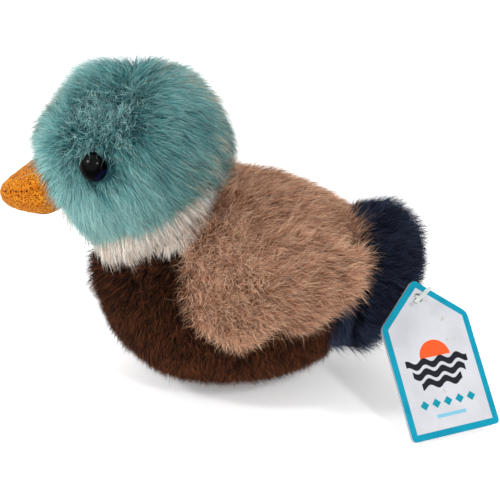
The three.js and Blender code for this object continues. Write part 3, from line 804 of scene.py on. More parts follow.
def make_head():
    surface = form_surface(HEAD_CLOTH)
    for i, (part, nodes) in enumerate(HEAD_NODES.items()):
        inside = head_part(part)
        backing(f"head_{part}_backing", surface, inside, TEAL_KNIT, nodes)

        def grown(p):
            return inside(p) & (reach(from_eye(p)) > EYE_BARE)

        def combed(p):
            return grown(p) * (1 - 0.7 * curly(p)) * (1 - 0.7 * holes(p)) * (1 - 0.5 * hollow(p))

        def tangled(p):
            return grown(p) * curly(p) ** 1.5 * (1 - near_eye(p)) * (1 - 0.85 * holes(p))

        pile(f"head_{part}_pile", surface, combed, head_comb, TEAL, 11 + i, HEAD_COAT)
        pile(f"head_{part}_underpile", surface, combed, head_comb, TEAL, 21 + i, HEAD_UNDER)
        pile(f"head_{part}_curls", surface, tangled, head_comb, TEAL, 31 + i, HEAD_CURLS)
        pile(f"head_{part}_fuzz", surface, lambda p: grown(p) * greyed(p), head_comb, FUZZ, 35 + i,
             HEAD_FUZZ)
        if part != "gusset":
            pile(f"head_{part}_brow", surface, lambda p: grown(p) & over_eye(p),
                 lambda p, n: -from_eye(p), TEAL, 38 + i, BROW)


# Eyes

REFLECTED_BLUE_SIDE = np.array([0.8, 0, -0.6])
GLOSS_SIDE = unit(np.array([-0.13, -0.8, 0.59]))
EYE_BACK = EYE_SINK + 0.5
# How far the two rings of the rounded rim stand in from the dome's edge and behind its foot
EYE_RIM = ((0.35, 0.5), (0.08, 0.32))
EYE_DOME_STEPS = 14


def eye_gloss(side, out, flip):
    """Black moulded plastic with a painted reflection of blue in a crescent at its lower rear, glossiest
    at its upper front.
    """
    finish = Finish(f"eye_gloss_{side}", Roughness=0.2)
    open_side = finish.ramp(finish.faces(GLOSS_SIDE * flip), [(0.8, grey(0.015)), (0.93, grey(0.12))])
    finish.tree.links.new(open_side, finish.shader.inputs["Specular IOR Level"])
    cloud = finish.math("MULTIPLY", finish.noise(1.2, 3.0), 0.12)
    # Painted reflection: the deep-blue crescent at the lower rear stands for the blue pile mirrored in the
    # dome.
    blue_reflection_side = finish.math("ADD", finish.faces(unit(REFLECTED_BLUE_SIDE - out * (REFLECTED_BLUE_SIDE @ out))), cloud)
    reflected_blues = [(0.8, srgb(2, 2, 3)), (0.94, srgb(10, 13, 42)), (1.0, srgb(6, 7, 20))]
    finish.colour(finish.ramp(blue_reflection_side, reflected_blues))
    return finish.material


def lathe(profile, foot, out, around=48):
    """Points and polygons of a closed turned form from its (radius, height) profile."""
    across = unit(np.cross(out, AXIS_Z))
    turn = np.arange(around) * TURN / around
    ring = across[None] * np.cos(turn)[:, None] + np.cross(out, across)[None] * np.sin(turn)[:, None]
    inner = profile[1:-1]
    rows = [foot + ring * r + out * h for r, h in inner]
    ends = [foot + out * profile[0][1], foot + out * profile[-1][1]]
    points = np.concatenate([np.array(rows).reshape(-1, 3), np.array(ends)])
    a, b, c, d = ring_cells(len(inner), around)
    caps = np.concatenate([fan(len(points) - 2, 0, around, flip=True),
                           fan(len(points) - 1, (len(inner) - 1) * around, around)])
    return points, [np.stack([a, b, d, c], -1).reshape(-1, 4), caps]


def washer_plastic():
    """Plain moulded plastic, a little cloudy and scuffed."""
    finish = Finish("washer_plastic", Roughness=0.55)
    finish.colour(finish.clouds(2.4, srgb(206, 207, 206), srgb(224, 225, 224)))
    finish.bump(finish.noise(0.6), 0.05)
    return finish.material


def dress(name, material):
    """A new material on a solid of the frame."""
    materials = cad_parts[name].data.materials
    materials.clear()
    materials.append(material)


def make_eyes():
    plastic = washer_plastic()
    for side in ("left", "right"):
        dress(f"eye_washer_{side}", plastic)
    angles = np.linspace(0, math.pi / 2, EYE_DOME_STEPS + 1)
    dome = [(EYE_RADIUS * math.cos(a), -EYE_SINK + EYE_HEIGHT * math.sin(a)) for a in angles[:-1]]
    rim = [(EYE_RADIUS - inwards, -EYE_SINK - behind) for inwards, behind in EYE_RIM]
    profile = [(0, -EYE_BACK), *rim, *dome, (0, -EYE_SINK + EYE_HEIGHT)]
    for side, flip in (("left", np.ones(3)), ("right", MIRROR)):
        points, polygons = lathe(profile, EYE_FOOT, EYE_OUT)
        if side == "right":
            polygons = [q[:, ::-1] for q in polygons]
        gloss = eye_gloss(side, EYE_OUT * flip, flip)
        piece = build(f"eye_{side}_dome", points * flip, polygons, gloss, "duck")
        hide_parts(f"eye_{side}")


# Beak

BEAK_RISE = unit(np.array([-BEAK.rise, 0, 1]))
BEAK_SEAM = np.array([BEAK.x, 0, BEAK.z + 0.9])
BEAK_TIP = np.array([BEAK.x - BEAK.front, 0, 0])
BEAK_BLUNTNESS, BEAK_FULLEST = 2.35, 1.25
UPPER_SWELL, UPPER_DROP, LOWER_SWELL = 1.9, 0.95, 0.7
CREASE_WIDTH, CREASE_DEPTH = 0.35, 0.35
STITCH = 1.9
STITCHED_MIDDLE, STITCHED_HALF = 6.6, 4.1  # of the stitched run, from the tip
SUEDE_THICKNESS = 1.0


def suede():
    """Orange suedette with a short speckled nap and a row of stitch holes along the crease."""
    finish = Finish("orange_suede", Roughness=0.9, Sheen_Weight=0.06, Sheen_Roughness=0.4,
                    Specular_IOR_Level=0.08)
    own = finish.ramp(finish.noise(3.2), [(0.32, srgb(202, 116, 18)), (0.68, srgb(230, 150, 40))])
    speck = finish.noise(0.48, 2.0, 0.6)
    dark = finish.ramp(speck, [(0.40, WHITE), (0.56, BLACK)])
    speckled = finish.mix(dark, own, srgb(132, 62, 8))
    height = finish.math("ABSOLUTE", finish.along(BEAK_RISE, BEAK_SEAM))
    run = finish.along(AXIS_X, BEAK_TIP)
    from_hole = finish.math("ADD", finish.from_repeat(run, STITCH), finish.both(height, 0.8))
    hole = finish.ramp(from_hole, [(0.28, WHITE), (0.52, BLACK)])
    stitched = finish.math("LESS_THAN", finish.off(run, STITCHED_MIDDLE), STITCHED_HALF)
    finish.colour(finish.mix(finish.both(hole, stitched), speckled, srgb(78, 30, 10)))
    finish.bump(speck, 0.35)
    return finish.material


def halves(seam, rise, outside):
    """Where the upper and the lower half of a form are, outside of its neighbour."""
    def above(p):
        return (p - seam) @ rise > 0
    return {"upper": lambda p: above(p) & outside(p), "lower": lambda p: ~above(p) & outside(p)}


def make_beak():
    """Two suede caps that meet in a shallow crease."""
    points, faces = ball(110, 150)
    a = points[:, 0]
    blunt = (1 - np.abs(a) ** BEAK_BLUNTNESS).clip(TINY) ** (1 / BEAK_BLUNTNESS)
    blunt = blunt / np.sqrt((1 - a * a).clip(TINY))
    swell = np.where(a < 0, blunt.clip(1, BEAK_FULLEST), 1)[:, None]
    fuller = points * np.concatenate([np.ones_like(swell), swell, swell], 1)
    fuller[:, 1:] /= np.maximum(1, np.hypot(fuller[:, 1], fuller[:, 2]))[:, None]
    placed = BEAK.place(fuller)
    upper, lower = smooth(0, 0.5, points[:, 2]), smooth(0, -0.5, points[:, 2])
    placed[:, 2] += upper * (smooth(-0.75, -0.1, a) * UPPER_SWELL - UPPER_DROP)
    placed[:, 2] -= lower * smooth(-0.5, 0.1, a) * LOWER_SWELL
    surface = Surface(placed, faces)
    crease = np.exp(-(((placed - BEAK_SEAM) @ BEAK_RISE) / CREASE_WIDTH) ** 2) * CREASE_DEPTH
    nap = Waves(61, 1.1, 24)(placed) * 0.06 + Waves(62, 3.2, 12)(placed) * 0.08
    surface = Surface(placed + surface.normals * (nap - crease)[:, None], surface.faces)
    suedette = suede()
    nodes = {"upper": ["beak_upper"], "lower": ["beak_lower", "beak_stuffing"]}
    for half, inside in halves(BEAK_SEAM, BEAK_RISE, lambda p: HEAD_CLOTH.level(p, -1.0) > 1).items():
        backing(f"beak_{half}_suede", surface, inside, suedette, nodes[half],
                thickness=SUEDE_THICKNESS)


# Body

WHORL_TOP = np.array([0.0, -27.0, 61.0])
WHORL_LOW = np.array([5.0, -36.0, 42.0])
WING_REAR_COMB = np.array([0.85, 0, 0.05])
BREAST_COMB = np.array([0.3, 0, -1.0])
RUMP_X = 37.0
COVERED_LENGTH = 3.2
NECK_OVERLAP = 6
CREAM_EDGE, CREAM_SIDE, CREAM_NAPE, CREAM_THROAT = 8.4, 3.0, 5.2, 5.1


def cream_edge(p):
    """How far below the neck the cream pile is rooted, wide at the sides and thin at the nape."""
    x = p[:, 0]
    side = smooth(-18, -9, x) * smooth(3, -7, x)
    return (CREAM_EDGE + CREAM_SIDE * side - CREAM_NAPE * smooth(-7, 4, x)
            - CREAM_THROAT * smooth(-25, -42, x))


def below_cream(p):
    return -above_neck(p) - cream_edge(p)


def cream(p):
    return smooth(0.3, -0.3, below_cream(p))


def in_neck(p):
    """Where the neck covers the body."""
    height = above_neck(p)
    radius = reach(p - NECK_CENTRE - height[:, None] * NECK_AXIS)
    return (height > -NECK_BAND_WIDTH) & (radius < NECK_RADIUS - NECK_OVERLAP)


def under_wing(p):
    """Share by which a wing covers a point of the body's side."""
    return smooth(0, 5, wing_inside(p[:, 0], p[:, 2])) * smooth(0, 8, wing_drop(p[:, 0], p[:, 2]))


def back_comb(p, n):
    """Away from a whorl on each side, and rearwards."""
    left, flip = mirrored_left(p)
    return unit(from_segment(left, WHORL_TOP, WHORL_LOW) * flip) * 0.8 + WING_REAR_COMB


def breast_comb(p, n):
    return BREAST_COMB + np.zeros_like(p)


def neck_comb(p, n):
    return -NECK_AXIS + np.zeros_like(p)


def breast_painted_glow_and_tint(p):
    """Lighter low down, as painted light for the backlit rim of the pile near the floor, and darker high
    up.
    """
    return 0.3 * smooth(24, 4, p[:, 2]) - 0.3 * smooth(26, 50, p[:, 2])


def breast_lift(p):
    """Steeper high on the chest, which gives it a full outline."""
    return 58 + 18 * smooth(-22, -34, p[:, 0]) * smooth(26, 40, p[:, 2])


def tan_tint(p):
    """Darker over the back and lighter low on the wings."""
    return 0.3 * smooth(46, 28, p[:, 2]) - 0.16 * smooth(52, 66, p[:, 2])


def tangle(p):
    """1 at the whorls of the back's pile, fading to 0 around them."""
    left, _ = mirrored_left(p)
    return smooth(17, 5, reach(from_segment(left, WHORL_TOP, WHORL_LOW)))


TAN_COAT = dict(
    density=6.6, width=0.064, length=8.8, lift=34, bend=24, curl=lambda p: 0.35 + 0.6 * tangle(p),
    curl_turns=1.0, tuft=3, tuft_turn=lambda p: 25 + 40 * tangle(p), tuft_lift=8,
    spread=lambda p: 13 + 14 * tangle(p), swirl=24, swirl_length=9, pull=0.38, middle=0.48,
    shade_spread=0.32, tuft_shade=0.26, shade_wave=0.14, tint=tan_tint,
)
# Painted shade: the underpile's darker middle tone stands for the shade under the top pile.
TAN_UNDER = dict(TAN_COAT, steps=1, density=4.0, length=5.2, pull=0.15, middle=0.2, strays=0)
BROWN_COAT = dict(
    density=4.4, width=0.088, steps=2, length=5.4, lift=breast_lift, bend=30, curl=0.25, tuft=3,
    tuft_turn=34, tuft_lift=8, spread=26, swirl=18, pull=0.35, middle=0.44, shade_spread=0.5,
    tuft_shade=0.3, shade_wave=0.16,
)
# Painted shade: a darker middle tone for the shade under the top pile.
BROWN_UNDER = dict(BROWN_COAT, steps=1, density=5.0, width=0.085, length=4.4, pull=0.1, middle=0.4,
                   strays=0)
CREAM_COAT = dict(lift=38, density=6.5, tuft=5, tuft_turn=10, middle=0.6, shade_spread=0.2, swirl=10)


def on_body(coat):
    """The coat as it lies on the body: its length changes by place."""
    full = coat["length"]

    def length(p):
        x, _, z = p.T
        rear = 1 + smooth(34, 44, x) * (0.3 * smooth(44, 50, z) - 0.6 * smooth(55, 61, z))
        chest = 1 + 0.4 * smooth(-26, -36, x) * smooth(28, 42, z)
        below_fringe = 1 - 0.5 * smooth(5, 0, below_cream(p)) * smooth(-38, -30, x)
        return full * rear * chest * below_fringe + (COVERED_LENGTH - full) * under_wing(p)
    return dict(coat, length=length)


def round_base(p):
    return (np.hypot(p[:, 0] - BODY.x, p[:, 1]) < BASE_RADIUS) & (p[:, 2] < BASE_HEIGHT)


def uncovered(p):
    """Where neither the neck nor the tail covers the body's pile."""
    return ~in_neck(p) & (TAIL.level(p, -TAIL_PILE - 1) > 1)


def breast_side(side):
    return lambda p: (above_seam(p) < 0) & ((p[:, 1] < 0) == (side == "left")) & ~round_base(p)


BODY_PARTS = {
    "breast_left": (breast_side("left"), ["breast_panel_left"]),
    "breast_right": (breast_side("right"), ["breast_panel_right"]),
    "base": (round_base, ["base_panel", "bean_bag"]),
    "back": (lambda p: above_seam(p) >= 0, ["back_panel", "body_stuffing"]),
}


def make_body():
    surface = form_surface(BODY_CLOTH, 100, 150)
    for i, (part, (inside, nodes)) in enumerate(BODY_PARTS.items()):
        tan = part == "back"

        def shown(p):
            return inside(p) & uncovered(p)

        def grown(p):
            own = 1 if tan else p[:, 0] < RUMP_X
            return shown(p) * own * (1 - cream(p)) * (1 - 0.6 * under_wing(p)) * (p[:, 2] > 0.6)

        backing(f"{part}_backing", surface, shown, TAN_KNIT if tan else BROWN_KNIT, nodes)
        comb, fur = (back_comb, TAN) if tan else (breast_comb, BROWN)
        coat, under = (TAN_COAT, TAN_UNDER) if tan else (dict(BROWN_COAT, tint=breast_painted_glow_and_tint),
                                                         dict(BROWN_UNDER, tint=breast_painted_glow_and_tint))
        if part != "base":
            pile(f"{part}_pile", surface, grown, comb, fur, 71 + i, on_body(coat))
        pile(f"{part}_underpile", surface, grown, comb, fur, 81 + i, on_body(under))

    def rump(p):
        return uncovered(p) & (above_seam(p) < 0) & (p[:, 0] >= RUMP_X)

    pile("shoulder_pile", surface, lambda p: uncovered(p) * cream(p), neck_comb, CREAM, 91,
         dict(CREAM_COAT, density=8.0, length=6.0, lift=46))
    pile("rump_pile", surface, rump, tail_comb, NAVY, 93, NAVY_COAT)
    pile("rump_underpile", surface, rump, tail_comb, NAVY, 95, NAVY_UNDER)


# Tail

TAIL_WHORL = np.array([36.0, 0, 38.0])
TAIL_COMB = np.array([0.35, 0, -0.1])
TAN_ROOT_Z = 46


def tail_comb(p, n):
    return unit(p - TAIL_WHORL) + TAIL_COMB + AXIS_X * smooth(30, 16, p[:, 2:3])


def navy_length(p):
    """Longer low down where the tail meets the rump, and at its upper end."""
    x, _, z = p.T
    return 7.0 + 2.6 * smooth(28, 16, z) * smooth(54, 46, x) + 1.6 * smooth(46, 54, z) * smooth(44, 54, x)


NAVY_COAT = dict(
    density=4.8, steps=2, length=navy_length, bend=26, spread=13, pull=0.4, middle=0.42, shade_spread=0.2,
    lift=lambda p: 50 + 14 * smooth(44, 54, p[:, 2]) * smooth(48, 58, p[:, 0]),
    tint=lambda p: 0.42 * smooth(38, 20, p[:, 2]),
)
# Painted shade: the underpile's darker middle tone stands for the shade under the top pile.
NAVY_UNDER = dict(NAVY_COAT, steps=1, density=4.0, length=5.2, pull=0.15, middle=0.3, strays=0)


def tan_root(p):
    """1 on the top of the tail's root, which the back's pile goes on over."""
    border = np.minimum(36.5 + 1.4 * (60 - p[:, 2]), 46.5)
    return smooth(1.5, -1.5, p[:, 0] - border) * (p[:, 2] > TAN_ROOT_Z)


def off_body(grow):
    """Where a neighbour stands out of the body's backing, grown by some millimetres."""
    return lambda p: BODY.level(p, grow - BODY_PILE) > 1


def make_tail():
    surface = form_surface(TAIL_CLOTH)
    nodes = {"upper": ["tail_panel_upper"], "lower": ["tail_panel_lower", "tail_stuffing"]}
    parts = halves(np.array([TAIL.x, 0, TAIL.z]), unit(np.array([-TAIL.rise, 0, 1])), off_body(-1.0))
    for i, (part, inside) in enumerate(parts.items()):
        backing(f"tail_{part}_backing", surface, inside, NAVY_KNIT, nodes[part])

        def grown(p):
            return inside(p) * (BODY.level(p, -2.0) > 1) * (1 - tan_root(p))

        pile(f"tail_{part}_pile", surface, grown, tail_comb, NAVY, 101 + i, NAVY_COAT)
        pile(f"tail_{part}_underpile", surface, grown, tail_comb, NAVY, 111 + i, NAVY_UNDER)
    pile("tail_root_pile", surface, lambda p: off_body(1)(p) * tan_root(p), back_comb, TAN, 121,
         dict(TAN_COAT, length=6.8, lift=40))


# Neck band

NECK_BAND_DEPTH, NECK_BAND_FLARE = 5.0, 0.12
NECK_BAND_TOP, NECK_BAND_LOWEST = 0.8, -NECK_BAND_WIDTH - 2.5
NECK_BAND_ROWS, NECK_BAND_STEPS = 8, 140


def neck_length(p):
    """Longer towards the front, but short at the throat and at the nape."""
    x = p[:, 0]
    return 8.0 + 1.4 * smooth(-4, -34, x) - 4.0 * smooth(-9, 3, x) - 3.0 * smooth(-30, -42, x)


def make_neck():
    """A cream ring whose pile hangs over the breast, and tan pile over it at the back."""
    along = np.linspace(NECK_BAND_TOP, NECK_BAND_LOWEST, NECK_BAND_ROWS)
    turn = np.arange(NECK_BAND_STEPS) * TURN / NECK_BAND_STEPS
    across = np.cross(AXIS_Y, NECK_AXIS)
    ring = across[None] * np.cos(turn)[:, None] + AXIS_Y[None] * np.sin(turn)[:, None]
    radius = NECK_RADIUS - NECK_BAND_DEPTH - NECK_BAND_FLARE * np.abs(along)
    points = np.concatenate([NECK_CENTRE + ring * r + NECK_AXIS * h for r, h in zip(radius, along)])
    a, b, c, d = ring_cells(NECK_BAND_ROWS, NECK_BAND_STEPS)
    surface = Surface(points, np.concatenate([triangles(a, b, d), triangles(a, d, c)]))
    backing("neck_band_backing", surface, off_body(-1.5), CREAM_KNIT, ["neck_band"])
    free = off_body(1)

    def uncreamed(back):
        return lambda p: free(p) * (1 - cream(p)) * ((above_seam(p) > 0) == back)

    pile("neck_band_pile", surface, lambda p: free(p) * cream(p), neck_comb, CREAM, 41,
         dict(CREAM_COAT, length=neck_length, strays=0.0))
    pile("nape_pile", surface, uncreamed(True), back_comb, TAN, 43, dict(TAN_COAT, length=8.0, lift=52))
    pile("throat_pile", surface, uncreamed(False), breast_comb, BROWN, 45, dict(BROWN_COAT, length=8.0))


# Wings

WING_ROOT, WING_REAR, WING_TIP = (2, 63), (26, 59.5), (50, 51)
WING_LEAD_X, WING_LOWEST_Z = -9, 31
WING_MIDDLE = np.array([20.0, 46.0])
WING_INNER, WING_THICK, WING_SUNK = 0.5, 3.0, 6.2
WING_MIDDLE_OUT = WING_INNER + WING_THICK / 2
WING_RINGS, WING_STEPS, OUTLINE_STEPS = 26, 150, 40
# How far the core is drawn in from the outline, at angles in the side view
WING_INSET = {-165: 3.0, -146: 3.4, -130: -1.2, -118: 2.0, -104: 5.4, -90: 5.2, -80: 3.8, -65: 2.2,
              -53: 1.6, -45: 2.6, -35: 3.6, -25: 5.2, -8: 5.2, 8: 4.8, 40: 1.6, 90: 1.6, 150: 3.0,
              180: 3.6}


def bezier(a, b, c, d):
    t = np.linspace(0, 1, OUTLINE_STEPS, endpoint=False)[:, None]
    return (1 - t) ** 3 * a + 3 * (1 - t) ** 2 * t * b + 3 * (1 - t) * t * t * c + t ** 3 * d


def wing_outline():
    """The wing's edge in the side view, with its curves in shares of its span and drop."""
    size = np.array([WING_TIP[0] - WING_LEAD_X, WING_ROOT[1] - WING_LOWEST_Z])

    def at(along, up):
        return np.array([WING_LEAD_X, WING_LOWEST_Z]) + size * (along, up)

    root, rear, tip = (np.array(place, float) for place in (WING_ROOT, WING_REAR, WING_TIP))
    corner, lead, low = at(0, 1), at(0, 0.58), at(0.32, 0)
    straight = np.linspace(0, 1, OUTLINE_STEPS, endpoint=False)[:, None]
    return np.concatenate([
        bezier(root, root + (corner - root) * 2 / 3, lead + (corner - lead) * 2 / 3, lead),
        bezier(lead, at(0, 0.1), at(0.1, 0), low),
        bezier(low, at(0.62, 0), at(0.88, 0.1), tip),
        tip + (rear - tip) * straight,
        rear + (root - rear) * straight,
    ])


OUTLINE = wing_outline() - WING_MIDDLE
OUTLINE_ANGLE = np.arctan2(OUTLINE[:, 1], OUTLINE[:, 0])
OUTLINE_REACH = reach(OUTLINE)


def wing_reach(angle):
    return np.interp(angle, OUTLINE_ANGLE, OUTLINE_REACH, period=TURN)


def wing_inside(x, z):
    """How far inside the wing's edge a point of the side view is, below zero outside."""
    dx, dz = x - WING_MIDDLE[0], z - WING_MIDDLE[1]
    return wing_reach(np.arctan2(dz, dx)) - np.hypot(dx, dz)


def wing_drop(x, z):
    """How far a point of the side view is below the wing's upper edge."""
    return np.interp(x, *zip(WING_ROOT, WING_REAR, WING_TIP)) - z


def wing_sunk(x, z):
    """Share by which the wing's upper edge sinks into the pile of the back."""
    return smooth(12, 0, wing_drop(x, z))


def wing_middle(x, z):
    """How far out the middle of the wing's thickness is."""
    return WING_BED.side(x, z, WING_MIDDLE_OUT) - WING_SUNK * wing_sunk(x, z)


def wing_surface():
    """The wing's closed soft core, its rim rounded, on the left side."""
    share = np.sin(np.linspace(0, math.pi / 2, WING_RINGS + 1))[1:]
    turn = np.arange(WING_STEPS) * TURN / WING_STEPS - math.pi
    inset = np.interp(np.degrees(turn), list(WING_INSET), list(WING_INSET.values()), period=360)
    edge = wing_reach(turn) - inset
    flat = share[:, None, None] * (np.stack([np.cos(turn), np.sin(turn)], 1) * edge[:, None])[None]
    flat = WING_MIDDLE + flat.reshape(-1, 2)
    swell = np.repeat(np.sqrt(np.clip(1 - share ** 8, 0, 1)), WING_STEPS)

    def sheet(flat, half):
        x, z = flat.T
        half = half * (1 - 0.6 * wing_sunk(x, z))
        return np.stack([x, -wing_middle(x, z) - half, z], 1)

    half = WING_THICK / 2
    outer = sheet(flat, swell * half)
    inner = sheet(flat, -swell * half)[:-WING_STEPS]
    heart = np.concatenate([sheet(WING_MIDDLE[None], half), sheet(WING_MIDDLE[None], -half)])
    points = np.concatenate([outer, inner, heart])
    ids = np.arange(WING_STEPS)
    after = np.roll(ids, -1)

    def strip(low, high):
        return [triangles(low + ids, low + after, high + after),
                triangles(low + ids, high + after, high + ids)]

    start = len(outer)
    faces = [fan(len(points) - 2, 0, WING_STEPS, flip=True), fan(len(points) - 1, start, WING_STEPS)]
    for row in range(WING_RINGS - 1):
        faces += strip(row * WING_STEPS, (row + 1) * WING_STEPS)
    for row in range(WING_RINGS - 2):
        faces += [f[:, ::-1] for f in strip(start + row * WING_STEPS, start + (row + 1) * WING_STEPS)]
    faces += strip(start - WING_STEPS, start + (WING_RINGS - 2) * WING_STEPS)
    return Surface(points, np.concatenate(faces))


def low_edge(p, near, deep):
    """1 along the wing's lower edge, fading to 0 between two depths inside it."""
    x, _, z = p.T
    return smooth(deep, near, wing_inside(x, z)) * smooth(8, 20, wing_drop(x, z))


def outer_side(p):
    return np.abs(p[:, 1]) > wing_middle(p[:, 0], p[:, 2]) - 0.6


WING_COAT = dict(TAN_COAT, length=lambda p: 8.2 - 2.0 * low_edge(p, 2, 10),
                 lift=lambda p: 38 - 8 * low_edge(p, 0, 5))
LINING_COAT = dict(TAN_UNDER, density=2.6, length=1.8, lift=24, middle=0.25)


def make_wings():
    left = wing_surface()
    right = Surface(left.points * MIRROR, left.faces[:, ::-1])
    for body, surface, seed in (("wing_left", left, 131), ("wing_right", right, 141)):
        core = build(f"{body}_core", surface.points, [surface.faces], TAN_KNIT, body)
        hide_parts(f"{body}_outer", f"{body}_lining", f"{body}_wadding")
        pile(f"{body}_pile", surface, outer_side, back_comb, TAN, seed, WING_COAT, body)
        pile(f"{body}_underpile", surface, outer_side, back_comb, TAN, seed + 1, TAN_UNDER, body)
        pile(f"{body}_lining_pile", surface, lambda p: ~outer_side(p), back_comb, TAN, seed + 2,
             LINING_COAT, body)


# Swing tag and its fastener

TAG_HOLE = np.array([64.4, -18.69, 34.9])
TAG_TURN, TAG_LEAN = math.radians(22.5), math.radians(51.5)
TAG_ACROSS = np.array([math.cos(TAG_TURN), math.sin(TAG_TURN), 0])
TAG_ALONG = math.cos(TAG_LEAN) * np.cross(AXIS_Z, TAG_ACROSS) + math.sin(TAG_LEAN) * AXIS_Z
TAG_OUT = np.cross(TAG_ACROSS, TAG_ALONG)
TAG_HALF, TAG_APEX, TAG_SHOULDER, TAG_FOOT = 15.0, 6.0, -7.3, -43.3
TAG_BORDER = 2.0
SUN_INK = srgb(232, 84, 36)
WAVE_INK = srgb(24, 26, 34)
DIAMOND_INK = srgb(0, 132, 150)
RULE_INK = srgb(120, 178, 200)

# The print, in millimetres below the hole. Each row of waves has its place and half its width.
SUN_DOWN, SUN_RADIUS = 19.0, 5.2
WAVE_ROWS = ((20.6, 10.5), (23.8, 9.0), (27.0, 7.0))
WAVE_HALF, WAVE_HEIGHT, WAVE_TURNS = 1.05, 0.7, 1.1
DIAMOND_DOWN, DIAMOND_HALF, DIAMOND_STEP, DIAMOND_REACH = 33.2, 1.5, 4.0, 10.0
RULE_DOWN, RULE_HALF, RULE_REACH = 37.2, 0.55, 5.0


def card(finish):
    """Coated card: faint clouds and a few small stains."""
    own = finish.clouds(9.0, srgb(184, 185, 190), srgb(196, 197, 202))
    stain = finish.ramp(finish.noise(2.6, 2.0), [(0.70, BLACK), (0.76, grey(0.5))])
    return finish.mix(stain, own, srgb(168, 156, 140))


def tag_back():
    finish = Finish("tag_card_plain", Roughness=0.5)
    finish.colour(card(finish))
    return finish.material


def tag_border(finish, wide, v):
    """1 along the card's edge: its sides, its foot and the slopes of its top."""
    slope = unit(np.array([TAG_APEX - TAG_SHOULDER, TAG_HALF]))
    from_side = finish.math("SUBTRACT", TAG_HALF, wide)
    from_foot = finish.math("SUBTRACT", v, TAG_FOOT)
    from_shoulder = finish.math("SUBTRACT", TAG_SHOULDER, v)
    from_slope = finish.math("ADD", finish.both(from_side, slope[0]), finish.both(from_shoulder, slope[1]))
    nearest_edge = finish.math("MINIMUM", finish.math("MINIMUM", from_side, from_foot), from_slope)
    return finish.below(nearest_edge, TAG_BORDER)


def tag_prints(finish, u, wide, down):
    """The shape, the limit and the ink of each print: a half sun, waves, diamonds and a rule."""
    both, below, off = finish.both, finish.below, finish.off
    from_sun = finish.math("SUBTRACT", down, SUN_DOWN)
    away = finish.math("SQRT", finish.math("ADD", both(u, u), both(from_sun, from_sun)))
    wavy = finish.math("ADD", down, both(finish.math("SINE", both(u, WAVE_TURNS)), WAVE_HEIGHT))
    # Ten more steps keep the place above zero, where the remainder is true
    place = finish.math("ADD", u, DIAMOND_STEP * 10.5)
    from_diamond = finish.math("ADD", finish.from_repeat(place, DIAMOND_STEP), off(down, DIAMOND_DOWN))
    return [
        (below(away, SUN_RADIUS), below(from_sun, 0.0), SUN_INK),
        *((below(off(wavy, row), WAVE_HALF), below(wide, half), WAVE_INK) for row, half in WAVE_ROWS),
        (below(from_diamond, DIAMOND_HALF), below(wide, DIAMOND_REACH), DIAMOND_INK),
        (below(off(down, RULE_DOWN), RULE_HALF), below(wide, RULE_REACH), RULE_INK),
    ]


def tag_front():
    """A bordered face with a plain print."""
    finish = Finish("tag_card_printed", Roughness=0.5, Specular_IOR_Level=0.1)
    u = finish.along(TAG_ACROSS, TAG_HOLE)
    v = finish.along(TAG_ALONG, TAG_HOLE)
    wide = finish.math("ABSOLUTE", u)
    colour = card(finish)
    for shape, limit, ink in tag_prints(finish, u, wide, finish.both(v, -1)):
        colour = finish.mix(finish.both(shape, limit), colour, ink)
    cyan = finish.clouds(5.0, srgb(0, 128, 154), srgb(0, 142, 168))
    printed = finish.mix(tag_border(finish, wide, v), colour, cyan)
    outer = finish.ramp(finish.faces(TAG_OUT), [(0.4, BLACK), (0.6, WHITE)])
    finish.colour(finish.mix(outer, card(finish), printed))
    return finish.material


def clear_nylon():
    """Milky translucent plastic."""
    finish = Finish("clear_nylon", Roughness=0.28, Transmission_Weight=0.45, IOR=1.5,
                    Specular_IOR_Level=0.6)
    finish.colour(finish.clouds(2.0, srgb(206, 214, 208), srgb(228, 234, 230)))
    return finish.material


def make_tag():
    dress("tag_front_leaf", tag_front())
    dress("tag_back_leaf", tag_back())
    dress("tag_fastener", clear_nylon())


# Room

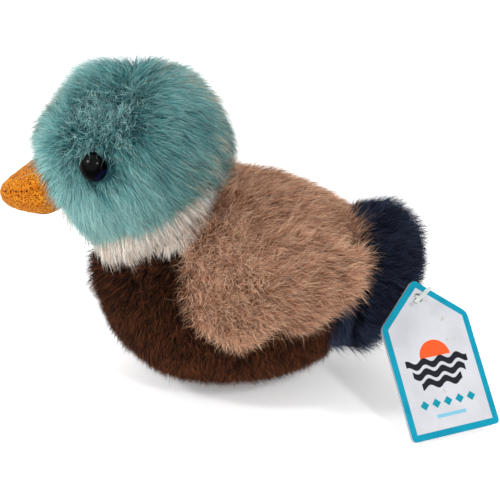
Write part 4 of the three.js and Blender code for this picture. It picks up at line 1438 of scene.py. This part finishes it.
FLOOR_HALF = 6.0
FLOOR_TONES = (0.95, 0.97)
FLOOR_GLOW = 0.26
WORLD_STRENGTH = 0.9
# Each sun's direction, apparent width in degrees and strength
SUNS = {
    "key": ((350, -685, 654), 8, 0.9),
    "side": ((-736, -246, 635), 9, 1.2),
    "rear": ((150, 480, 420), 60, 0.3),
}


def make_floor():
    mesh = bpy.data.meshes.new("floor")
    corners = [(-1, -1, 0), (1, -1, 0), (1, 1, 0), (-1, 1, 0)]
    mesh.from_pydata([Vector(c) * FLOOR_HALF for c in corners], [], [(0, 1, 2, 3)])
    finish = Finish("floor_paper", Roughness=0.9, Specular_IOR_Level=0.1)
    finish.colour(finish.clouds(60.0, *(grey(tone) for tone in FLOOR_TONES)))
    finish.shader.inputs["Emission Color"].default_value = WHITE
    finish.shader.inputs["Emission Strength"].default_value = FLOOR_GLOW
    mesh.materials.append(finish.material)
    link("floor", mesh)


def make_lights():
    world = bpy.data.worlds.new("studio")
    bpy.context.scene.world = world
    world.use_nodes = True
    background = world.node_tree.nodes["Background"]
    background.inputs["Color"].default_value = WHITE
    background.inputs["Strength"].default_value = WORLD_STRENGTH
    for name, (place, width, power) in SUNS.items():
        light = bpy.data.lights.new(name, "SUN")
        light.angle = math.radians(width)
        light.energy = power
        lamp = link(name, light)
        lamp.location = np.array(place) * MM
        lamp.rotation_euler = Vector(place).to_track_quat("Z", "Y").to_euler()
    bpy.context.scene.view_settings.view_transform = "Standard"


def make_camera():
    data = bpy.data.cameras.new("camera")
    data.sensor_width = CAMERA_SENSOR
    data.lens = CAMERA_LENS
    data.clip_start = CAMERA_NEAREST * MM
    camera = link("camera", data)
    back = np.array([0, -math.cos(CAMERA_ELEVATION), math.sin(CAMERA_ELEVATION)])
    camera.location = (np.array(CAMERA_TARGET) + back * CAMERA_DISTANCE) * MM
    camera.rotation_euler = (math.pi / 2 - CAMERA_ELEVATION, 0, 0)
    bpy.context.scene.camera = camera


make_camera()
make_floor()
make_lights()
make_head()
make_eyes()
make_beak()
make_neck()
make_body()
make_tail()
make_wings()
make_tag()
